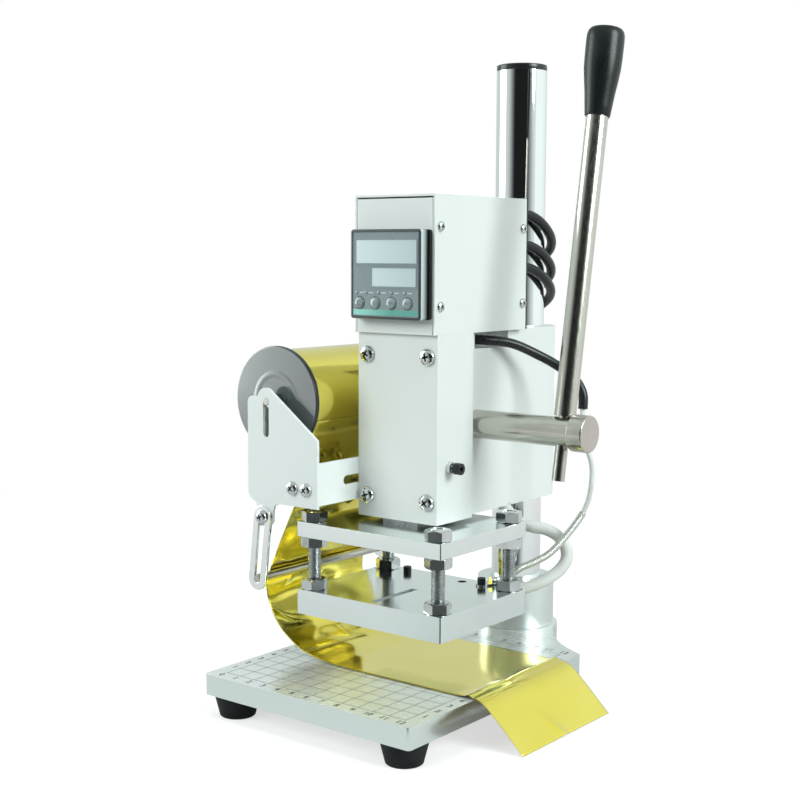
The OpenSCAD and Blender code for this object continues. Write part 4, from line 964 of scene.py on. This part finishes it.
bm = bmesh.new()
bmesh.ops.create_cone(bm, cap_ends=True, segments=6, radius1=NUT_REACH * MM, radius2=NUT_REACH * MM,
                      depth=NUT_HIGH * MM)
bmesh.ops.translate(bm, vec=mm(0, 0, NUT_HIGH / 2), verts=bm.verts)
bm = carved(bm, spun(NUT_LENS), "INTERSECT")
bm = carved(bm, spun(NUT_BORE, 32), "DIFFERENCE")
nuts = add_piece("hex_nuts", copies(bm, nut_places()), "bright_zinc", "ram", ["stud_nuts"], "zinc_steel",
                 sharp=25)
print("nuts", len(nuts.data.polygons), "faces")

# %% Threaded studs
THREAD_PITCH, THREAD_STEPS, THREAD_FOOT, THREAD_RISE = 1.25, 20, 31.2, 51
THREAD = ((3.1, 0), (3.78, 0.42), (3.78, 0.62), (3.1, 1.04))
STUD_CORE = ((0, 30.9), (3.3, 30.9), (3.35, 31.2), (3.35, 83.5), (2.7, 84.1), (0, 84.1))
turns = int(THREAD_RISE / THREAD_PITCH)
bm = bmesh.new()
ring = [bm.verts.new(mm(r, 0, THREAD_FOOT + z)) for r, z in THREAD]
edges = [bm.edges.new(pair) for pair in zip(ring, ring[1:] + ring[:1])]
bmesh.ops.spin(bm, geom=ring + edges, cent=(0, 0, 0), axis=(0, 0, 1), angle=math.tau * turns,
               dvec=(0, 0, THREAD_PITCH / THREAD_STEPS * MM), steps=turns * THREAD_STEPS, use_merge=False,
               use_normal_flip=False, use_duplicate=False)
bmesh.ops.holes_fill(bm, edges=bm.edges, sides=4)
bmesh.ops.recalc_face_normals(bm, faces=bm.faces)
core = mesh_of("core", spun(STUD_CORE, 24))
bm.from_mesh(core)
bpy.data.meshes.remove(core)
studs = copies(bm, [Matrix.Translation(mm(x, y, 0)) for x, y in STUDS])
add_piece("threaded_studs", studs, "thread_zinc", "ram", ["studs"], "zinc_steel", sharp=40)
print("studs", len(STUDS), "with", turns, "turns of thread")

# %% [markdown]
# ## The foil
# Hot stamping foil is a polyester film with a bright metal layer: a thin yellow mirror that creases where
# it is bent, with a duller back. On the roll it is tight and smooth. From the roll it hangs to a guide rod,
# bulges down to the table, lies flat under the plate and folds over the table's right edge. The sheet
# starts as a flat grid, and each point is moved to its place along that path. Broad waves and sharp ridges
# from a noise give the creases, and fade out where the film lies on the table, so it never dips into the
# plate. A solidify modifier gives the film its thickness and puts the duller finish on its back.

# %% Foil finish
for name, rough in (("gold_film", (0.08, 0.13)), ("gold_roll", (0.1, 0.15))):
    grained(name, (0.90, 0.75, 0.10), (0.95, 0.81, 0.15), rough, tone=25, grain=90, bump=(0.02, 0.05),
            Metallic=1.0, Coat_Weight=0.5, Coat_Roughness=0.06)
dress("gold_roll", "foil_roll")

# %% Path of the foil
FOIL_Y = (-26.0, 60.0)
ROLL_MIDDLE, ROLL_REACH = Vector((-64.5, 145)), 28.45
ROD_MIDDLE, ROD_REACH = Vector((-70.3, 44.5)), 2.95
HANG_STEPS, HANG_BOW = 14, 3.6
LOWER_PATH = ((-75.6, 37.5), (-74.5, 30), (-68.5, 19), (-58.5, 9.8), (-45, 3.7), (-30, 1.2), (-16, 0.4),
              (20, 0.4), (56, 0.4), (67, 1.2), (75, -0.6), (84, -8), (100, -23))
span = ROD_MIDDLE - ROLL_MIDDLE
lean = math.atan2(span.y, span.x) - math.asin((ROLL_REACH + ROD_REACH) / span.length)
side = Vector((-math.sin(lean), math.cos(lean)))
web_top = ROLL_MIDDLE + ROLL_REACH * side
web_foot = ROD_MIDDLE - ROD_REACH * side
hang = [web_top.lerp(web_foot, t) + Vector((HANG_BOW * math.sin(math.pi * t) ** 2, 0))
        for t in (k / HANG_STEPS for k in range(HANG_STEPS))]
corners = [(x, 0, z) for x, z in hang + [web_foot] + list(LOWER_PATH)]
foil_line = [(p.x / MM, p.z / MM) for p in smooth_line(corners, 8)]
foil_run = [0.0]
for (xa, za), (xb, zb) in zip(foil_line, foil_line[1:]):
    foil_run.append(foil_run[-1] + math.hypot(xb - xa, zb - za))
print("foil length", round(foil_run[-1], 1), "mm")

# %% Creases of the foil
LOW_FILM, LYING_FILM = 30, 10
BEND_X, FOLD_X, FLAP_END = -52, 65.5, 100


def on_foil(run):
    """Point and upward normal of the foil's path at a distance along it."""
    i = min(bisect_right(foil_run, run) - 1, len(foil_run) - 2)
    t = (run - foil_run[i]) / max(foil_run[i + 1] - foil_run[i], 1e-9)
    (xa, za), (xb, zb) = foil_line[i], foil_line[i + 1]
    way = Vector((xb - xa, zb - za)).normalized()
    return xa + t * (xb - xa), za + t * (zb - za), Vector((-way.y, way.x))


def fade(value, start, stop):
    """0 before start, 1 past stop and smooth between them."""
    t = min(1, max(0, (value - start) / (stop - start)))
    return t * t * (3 - 2 * t)


def hump(away, width):
    """1 on a ridge line, and less the farther away from it."""
    return math.exp(-(away / width) ** 2)


def wander(*place):
    """A smooth number between -1 and 1 that differs from place to place."""
    return noise.noise(Vector(place))


def crease(x, y, z, run):
    """How far the film stands off its path: waves, ridges, a bend, a fold and a dent at its end."""
    place = Vector((run * 0.028, y * 0.02, 1.7))
    wave = wander(*place) * 0.9 + wander(*(place * 2.3 + Vector((5, 2, 0)))) * 0.3
    ridge = 0.405 * max(0.0, 1 - abs(wander(run * 0.05, y * 0.035, 7.3)) * 5) ** 2
    free = fade(run, 4, 30) * (1 - fade(x, -68, -38) * (z < LOW_FILM))
    near_rod = 1 - 0.75 * hump(z - ROD_MIDDLE.y, 7) * (x < -60)
    flap = fade(x, 58, 66)
    lying = (1 - flap) * fade(x, -40, -16) * (z < LYING_FILM)
    high = (wave + ridge) * free * near_rod * (1 - flap)
    bend = BEND_X + 0.16 * (y - 17) + 3 * wander(y * 0.03, 2.2, 0)
    high += (z < LOW_FILM) * 0.45 * hump(x - bend, 5.5)
    high += lying * 0.16 * (1 + wander(x * 0.03, y * 0.03, 4.4))
    fold = hump(x - FOLD_X - 1.5 * wander(y * 0.05, 0.3, 0), 1.4)
    high += flap * (0.9 * fold + 0.5 * wander(x * 0.05, y * 0.04, 9.1) * fade(x, 70, 90))
    dent = hump(y - 14 + 0.4 * (FLAP_END - x), 3.2)
    return high + flap * 1.3 * fade(x, 86, FLAP_END) * dent


# %% Foil sheet
FOIL_STEPS = (230, 64)
FILM_THICK = 0.06
bm = bmesh.new()
bmesh.ops.create_grid(bm, x_segments=FOIL_STEPS[0], y_segments=FOIL_STEPS[1], size=0.5)
for vert in bm.verts:
    run = (vert.co.x + 0.5) * foil_run[-1] * 0.99999
    y = FOIL_Y[0] + (vert.co.y + 0.5) * (FOIL_Y[1] - FOIL_Y[0])
    x, z, normal = on_foil(run)
    high = crease(x, y, z, run)
    vert.co = mm(x + normal.x * high, y, z + normal.y * high)
bmesh.ops.recalc_face_normals(bm, faces=bm.faces)
foil = linked("foil_sheet", smoothed(mesh_of("foil_sheet", bm), "gold_film", "foil_back"))
skin = foil.modifiers.new("film_thickness", "SOLIDIFY")
skin.thickness, skin.offset, skin.material_offset = FILM_THICK * MM, 0, 1
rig.blend(foil, "base", "head", start=mm(0, 0, 4), end=mm(0, 0, 42))
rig.replaces(foil, "foil_web")
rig.slot(foil, "gold_foil")
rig.sheet(foil, flat=(0.086, foil_run[-1] * MM), held="draped",
         rests_on=["table_plate", "guide_rod", "foil_roll"])
print("foil sheet", len(foil.data.polygons), "faces")

# %% [markdown]
# ## Reels, spring and inlet
# Two moulded flanges hold the roll. They are eased copies of the solids, with a shallow raised ring like a
# real moulding has. The return spring hides in the head: a helix with one end on the head and one on the
# ram, so it has to shorten when the lever is pulled. The inlet at the back gets its three blades.

# %% Flanges with a raised ring
FLANGE_FRONT, FLANGE_REAR = -29, 63
RING = ((11.4, -0.07), (12.4, -0.01), (13.5, 0.07), (14.6, 0.1), (15.7, 0.07), (16.8, -0.01), (17.8, -0.07))
flanges = eased("roll_flanges", 0.6, "flange_plastic", "black_plastic", segments=3)
second_finish(flanges, "black_moulding", lambda face: abs(face.normal.y) < 0.8)
bm = copies(spun(RING, 64, closed=True), [pointing((ROLL_MIDDLE.x, y, ROLL_MIDDLE.y), way)
                                          for y, way in ((FLANGE_FRONT, FRONT), (FLANGE_REAR, REAR))])
add_piece("flange_rings", bm, "flange_plastic", "foil_roll", slot="black_plastic", sharp=60)

# %% Return spring
COILS, COIL_STEPS = 10, 24
COIL_REACH, COIL_Y, COIL_LOW, COIL_HIGH = 5, 14, 115.3, 164.2
WIRE_THICK = 1.4
helix = []
for k in range(COILS * COIL_STEPS + 1):
    t = k / (COILS * COIL_STEPS)
    a = math.tau * t * COILS
    helix.append(mm(COIL_REACH * math.cos(a), COIL_Y + COIL_REACH * math.sin(a),
                    COIL_LOW + (COIL_HIGH - COIL_LOW) * t))
spring = tube_on("coil_spring", helix, WIRE_THICK, "tool_steel", rings=3)
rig.blend(spring, "head", "ram", start=mm(0, COIL_Y, COIL_HIGH), end=mm(0, COIL_Y, COIL_LOW))
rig.replaces(spring, "return_spring")
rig.slot(spring, "tool_steel")
print("spring", len(spring.data.polygons), "faces")

# %% Inlet blades
BLADES = ((-9, 208.2), (-13.4, 203.2), (-4.6, 203.2))
BLADE_HALF = (0.8, 6, 1.8)
BLADE_Y = 78


def add_block(bm, low, high):
    """Adds a box between two corners to a shape."""
    verts = bmesh.ops.create_cube(bm, size=1)["verts"]
    bmesh.ops.scale(bm, vec=mm(*(b - a for a, b in zip(low, high))), verts=verts)
    bmesh.ops.translate(bm, vec=mm(*((a + b) / 2 for a, b in zip(low, high))), verts=verts)


bm = bmesh.new()
for x, z in BLADES:
    low, high = ([c + sign * half for c, half in zip((x, BLADE_Y, z), BLADE_HALF)] for sign in (-1, 1))
    add_block(bm, low, high)
add_piece("inlet_blades", ease(bm, 0.3), "bright_zinc", "head", slot="nickel")
print("inlet blades", len(BLADES))

# %% [markdown]
# ## The temperature controller
# A 48 mm square panel instrument: a dark frame stands proud of the box, with a gasket behind it and a
# smooth face inside. Two pale windows sit in thin frames, with lamps, ticks and four round keys below them
# and a coloured strip along the foot. The frame is a rounded square made by bevelling the four long edges
# of a block. Its face is inset and pushed in, and a boolean sinks a round hole for each key, so that a key
# can move.

# %% Controller frame and gasket
MIDDLE_Z, FRAME_HALF = 215.5, 24
FRONT_Y, FACE_Y, BACK_Y = -12.5, -12.1, -6.3
FACE_INSET = 1.5
KEY_X, KEY_Z = (-17.65, -6.75, 4.15, 15.05), 200.1
KEY_HOLE = ((0, -4.6), (3.5, -4.6), (3.5, 2), (0, 2))
GASKET_LOW, GASKET_HIGH = (-25.5, -6.6, 191.7), (25.5, -4.5, 239.3)


def long_edges(bm):
    """The edges that run from front to back."""
    return [e for e in bm.edges if abs(e.verts[0].co.y - e.verts[1].co.y) > 1 * MM]


bm = bmesh.new()
add_block(bm, (-FRAME_HALF, FRONT_Y, MIDDLE_Z - FRAME_HALF), (FRAME_HALF, BACK_Y, MIDDLE_Z + FRAME_HALF))
rounded(bm, long_edges(bm), 1.6, 4)
front = min(bm.faces, key=lambda face: face.calc_center_median().y)
bmesh.ops.inset_region(bm, faces=[front], thickness=FACE_INSET * MM, use_even_offset=True)
rim = [e for e in bm.edges if e.calc_face_angle() > 1.2
       and all(vert.co.y < (FRONT_Y + 0.1) * MM for vert in e.verts)]
deep = bmesh.ops.extrude_face_region(bm, geom=[front])
bmesh.ops.translate(bm, vec=mm(0, FACE_Y - FRONT_Y, 0),
                    verts=[v for v in deep["geom"] if isinstance(v, bmesh.types.BMVert)])
bmesh.ops.delete(bm, geom=[front], context="FACES_ONLY")
rounded(bm, rim, 0.8, 4)
bmesh.ops.recalc_face_normals(bm, faces=bm.faces)
holes = copies(spun(KEY_HOLE, 32), [pointing((x, FACE_Y, KEY_Z), FRONT) for x in KEY_X])
bezel = add_piece("controller_frame", carved(bm, holes, "DIFFERENCE"), "controller_frame", "head",
                  ["controller_bezel"], "controller_grey", sharp=40)
second_finish(bezel, "controller_face",
              lambda face: face.normal.y < -0.99 and abs(face.center.y - FACE_Y * MM) < 0.05 * MM)
# the left and right sides of the frame get the painted highlight, light at the front and dark at the back
second_finish(bezel, "controller_rim_painted_highlight",
              lambda face: abs(face.normal.y) < 0.5 and abs(face.center.x) > (FRAME_HALF - 1) * MM)
bm = bmesh.new()
add_block(bm, GASKET_LOW, GASKET_HIGH)
rounded(bm, long_edges(bm), 1.4, 3)
add_piece("controller_gasket", bm, "black_rubber", "head", slot="black_rubber")
print("controller frame", len(bezel.data.polygons), "faces")

# %% Window frames
OPENINGS = ((-20.0, 20.9, 5.9, 18.3), (-9.0, 20.5, -6.4, 3.3))
BAR, BAR_Y = 0.9, (FACE_Y - 0.27, FACE_Y + 0.23)
bm = bmesh.new()
for left, right, low, high in OPENINGS:
    first, last = left - BAR, right + BAR
    for x0, z0, x1, z1 in ((first, high, last, high + BAR), (first, low - BAR, last, low),
                           (first, low, left, high), (right, low, last, high)):
        add_block(bm, (x0, BAR_Y[0], MIDDLE_Z + z0), (x1, BAR_Y[1], MIDDLE_Z + z1))
add_piece("window_frames", bm, "controller_face", "head", slot="controller_grey")
print("window frames", len(OPENINGS))

# %% Strip, ticks and lamps
STRIP = (0, -20.45, 44.4, 3.0)
LAMP_X, LAMP_Z = (-19.6, -13.2, -4.6, 4.4, 13.2), -9.9
TICK_X, TICK_WIDE, TICK_TALL = 3.3, 3.2, 0.6
LAMP = ((0, 0.5), (0.55, 0.45), (0.9, 0.25), (1, 0), (1, -0.6), (0, -0.6))
PRINT_STAND = 0.04


def flat_marks(name, marks, finish):
    """Thin printed marks on the controller's face, each given by its middle and its size."""
    bm = bmesh.new()
    for x, z, wide, tall in marks:
        add_block(bm, (x - wide / 2, FACE_Y - PRINT_STAND, MIDDLE_Z + z - tall / 2),
                  (x + wide / 2, FACE_Y + PRINT_STAND, MIDDLE_Z + z + tall / 2))
    add_piece(name, bm, finish, "head", slot="controller_grey")


# the strip's finish is teal print with a painted reflection, lighter towards the left
flat_marks("controller_strip", [STRIP], "teal_print_painted_reflection")
flat_marks("lamp_ticks", [(x + TICK_X, LAMP_Z, TICK_WIDE, TICK_TALL) for x in LAMP_X], "pale_print")
bm = copies(spun(LAMP, 24), [pointing((x, FACE_Y, MIDDLE_Z + LAMP_Z), FRONT) for x in LAMP_X])
add_piece("controller_lamps", bm, "button_silver", "head", slot="button_grey")
print("lamps", len(LAMP_X))

# %% [markdown]
# ## The keys
# Each key is a small moulded dome on its own body, so that it can be pressed alone. The dome is spun and
# stands in its hole with a little room all round. Its symbol, an open circle or an arrow, is a thin raised
# line, made like the cables from a bevelled curve.

# %% Keys with plain symbols
KEY = ((0, 0.75), (1.3, 0.72), (2.4, 0.62), (3.0, 0.4), (3.2, 0), (3.25, -0.4), (3.25, -2.6), (0, -2.6))
SYMBOL_Y, SYMBOL_THICK = -13.2, 0.34
ARROW = ((-1.0, -0.5), (0, 0.55), (1.0, -0.5))
SYMBOLS = (
    [(1.1 * math.cos(a), 1.1 * math.sin(a)) for a in (math.radians(40 + 26 * k) for k in range(11))],
    [(-z, x) for x, z in ARROW],
    [(x, -z) for x, z in ARROW],
    ARROW,
)
for i, (x, symbol) in enumerate(zip(KEY_X, SYMBOLS), 1):
    key = "button_%d" % i
    bm = copies(spun(KEY, 32), [pointing((x, FRONT_Y, KEY_Z), FRONT)])
    add_piece(key + "_dome", bm, "button_silver", key, [key], "button_grey", sharp=50)
    line = [mm(x + a, SYMBOL_Y, KEY_Z + b) for a, b in symbol]
    mark = tube_on(key + "_symbol", line, SYMBOL_THICK, "printed_ink", rings=2)
    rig.ride(mark, key)
print("keys", len(KEY_X))

# %% [markdown]
# ## Floor and room
# The picture has a white sweep with a soft shadow, and bright surroundings that the metal mirrors. A
# photographer would hang a roll of white paper. Here the floor is a wide disc that is dull near the press,
# where it takes the shadow, and turns into plain white light farther out. The world is white to the camera,
# bright to mirrors and dimmer as a light.

# %% Floor
FLOOR_WHITE, FLOOR_GLOW, FLOOR_SHEEN, FAR_SHEEN = 0.5, 0.6, 0.12, 0.85
FLOOR_REACH, FLOOR_Z = 4.0, -0.02352
SWEEP = (0.25, 0.8)


def stage_finish(name):
    """A new material for the stage, without a shader, and its tree."""
    made = bpy.data.materials.new(name)
    made.use_nodes = True
    made.node_tree.nodes.remove(made.node_tree.nodes["Principled BSDF"])
    return made, made.node_tree


def glow_of(tree, rays, to_camera, to_mirrors):
    """An emission with one strength for the camera and another for mirrors."""
    seen = worked(tree, "MULTIPLY", rays["Is Camera Ray"], to_camera)
    mirrored = worked(tree, "MULTIPLY", rays["Is Glossy Ray"], to_mirrors)
    return fed(tree, "Emission", {"Strength": worked(tree, "ADD", seen, mirrored)}).outputs["Emission"]


floor_white, tree = stage_finish("floor_white")
rays = fed(tree, "LightPath").outputs
paper = fed(tree, "BsdfDiffuse", {"Color": (FLOOR_WHITE, FLOOR_WHITE, FLOOR_WHITE, 1)}).outputs["BSDF"]
near = fed(tree, "AddShader", {0: paper, 1: glow_of(tree, rays, FLOOR_GLOW, FLOOR_SHEEN)}).outputs["Shader"]
away = fed(tree, "VectorMath", {0: fed(tree, "TexCoord").outputs["Object"]}, operation="LENGTH")
share = spread_of(tree, away.outputs["Value"], 0, 1, *SWEEP)
sweep = fed(tree, "MixShader", {0: share, 1: near, 2: glow_of(tree, rays, 1.0, FAR_SHEEN)})
plug(tree, tree.nodes["Material Output"], {"Surface": sweep.outputs["Shader"]})
bm = bmesh.new()
bmesh.ops.create_circle(bm, cap_ends=True, segments=64, radius=FLOOR_REACH)
bmesh.ops.translate(bm, vec=(0, 0, FLOOR_Z), verts=bm.verts)
floor = linked("floor", mesh_of("floor", bm))
floor.data.materials.append(floor_white)
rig.stage(floor)
print("floor", FLOOR_REACH, "m round")

# %% World
TINT = (0.9, 1.0, 0.975)
WORLD_LIGHT, ROOM, ROOM_GLOW = 0.42, 0.7, 0.35
GLOW_WAY, GLOW_EDGE = (0.8, 0.6, 0.1), (0.3, 0.95)
world = bpy.data.worlds.new("white_room")
bpy.context.scene.world = world
world.use_nodes = True
tree = world.node_tree
rays = fed(tree, "LightPath").outputs
look = fed(tree, "TexCoord").outputs["Generated"]
toward = fed(tree, "VectorMath", {0: look, 1: Vector(GLOW_WAY).normalized()}, operation="DOT_PRODUCT")
room = worked(tree, "ADD", spread_of(tree, toward.outputs["Value"], 0, ROOM_GLOW, *GLOW_EDGE), ROOM)
mirrored = worked(tree, "MULTIPLY", room, rays["Is Glossy Ray"])
plain = worked(tree, "MULTIPLY", worked(tree, "SUBTRACT", 1.0, rays["Is Glossy Ray"]), WORLD_LIGHT)
seen = worked(tree, "MAXIMUM", rays["Is Camera Ray"], rays["Is Transmission Ray"])
strength = worked(tree, "MAXIMUM", worked(tree, "ADD", mirrored, plain), seen)
tone = fed(tree, "Mix", {"Factor": seen, "A": (*TINT, 1), "B": (1, 1, 1, 1)}, data_type="RGBA")
plug(tree, tree.nodes["Background"], {"Strength": strength, "Color": tone.outputs["Result"]})
print("world light", WORLD_LIGHT)

# %% [markdown]
# ## Lamps and cards
# The light is soft and comes from the right, the front and above, so three large disc lamps do. Bright
# metal shows what stands round it, and a studio has dark walls as well as white ones. Bent cards stand in
# for them, seen only by mirrors: a dark card behind the camera makes the dark band in the chrome, a dark
# patch of floor darkens what the metal mirrors from below, and a bright card on the left lights up the roll
# and the foil.

# %% Lamps


def soft_lamp(name, place, target, size, power):
    """A round lamp that faces a target."""
    data = bpy.data.lights.new(name, "AREA")
    data.shape, data.size, data.energy = "DISK", size, power
    data.color = TINT
    lamp = linked(name, data)
    aim = (Vector(place) - Vector(target)).to_track_quat("Z", "Y").to_matrix().to_4x4()
    lamp.matrix_world = Matrix.Translation(place) @ aim
    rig.stage(lamp)
    return lamp


soft_lamp("key_light", (1.5, 0.1, 0.9), (0, 0.02, 0.12), 0.9, 22)
fill = soft_lamp("fill_light", (-0.7, -1.5, 1.0), (0, 0.02, 0.12), 1.1, 20)
top = soft_lamp("top_light", (-0.2, -0.1, 1.9), (0, 0.02, 0.1), 1.2, 8)
for lamp in (fill, top):
    lamp.visible_glossy = False
print("lamps lit")

# %% Cards for mirrors
COLUMN_FOOT, ROLL_FOOT = (0.0, 0.118), (-0.064, -0.029)
CARD_STEPS = 32


def card_mesh(name, arc, inner, outer, middle):
    """A band bent round a middle, from one angle to another, with its share of the arc as UV."""
    bm = bmesh.new()
    shares = bm.loops.layers.uv.new("share")
    ring = []
    for k in range(CARD_STEPS + 1):
        a = math.radians(arc[0] + (arc[1] - arc[0]) * k / CARD_STEPS)
        ring.append([bm.verts.new((middle[0] + reach * math.cos(a), middle[1] + reach * math.sin(a), z))
                     for reach, z in (inner, outer)])
    for k in range(CARD_STEPS):
        face = bm.faces.new((ring[k][0], ring[k + 1][0], ring[k + 1][1], ring[k][1]))
        for loop, j in zip(face.loops, (k, k + 1, k + 1, k)):
            loop[shares].uv = (j / CARD_STEPS, 0.5)
    return mesh_of(name, bm)


def arc_card(name, arc, inner, outer, tones, power=1.0, middle=COLUMN_FOOT):
    """A bent card that only mirrors see. Inner and outer are (reach, height), tones (share of arc, glow)."""
    made, tree = stage_finish(name)
    split = fed(tree, "SeparateXYZ", {"Vector": fed(tree, "TexCoord").outputs["UV"]})
    ramp = fed(tree, "ValToRGB", {"Fac": split.outputs["X"]})
    ramp.color_ramp.interpolation = "EASE"
    elements = ramp.color_ramp.elements
    for i, (share, glow) in enumerate(tones):
        element = elements[i] if i < 2 else elements.new(share)
        element.position, element.color = share, (*(glow * c for c in TINT), 1)
    light = fed(tree, "Emission", {"Color": ramp.outputs["Color"], "Strength": power})
    plug(tree, tree.nodes["Material Output"], {"Surface": light.outputs["Emission"]})
    card = linked(name, card_mesh(name, arc, inner, outer, middle))
    card.data.materials.append(made)
    for kind in ("camera", "diffuse", "transmission", "shadow", "volume_scatter"):
        setattr(card, "visible_" + kind, False)
    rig.stage(card)


arc_card("dark_card", (-125, 12), (1.9, -0.023), (1.9, 1.3),
         ((0, 0.7), (0.3, 0.014), (0.66, 0.014), (1, 0.8)))
arc_card("dark_floor", (-108, -22), (0.27, -0.0231), (1.9, -0.023),
         ((0, 0.72), (0.35, 0.1), (0.65, 0.1), (1, 0.72)))
arc_card("soft_box", (-178, -133), (1.5, -0.02), (1.5, 1.2), ((0, 0.2), (0.25, 1.0), (0.8, 1.0), (1, 0.2)),
         5.0, ROLL_FOOT)
print("cards stand")

# %% [markdown]
# ## Sizes
# The dressed press has to be as big as its solids. Both boxes are written down, so that they can be
# compared.

# %% Sizes and finish
new_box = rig.bounds()
sizes = {"cad": [list(c) for c in cad_box], "scene": [list(c) for c in new_box]}
with open("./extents.json", "w") as out:
    json.dump(sizes, out)
print(json.dumps(sizes))
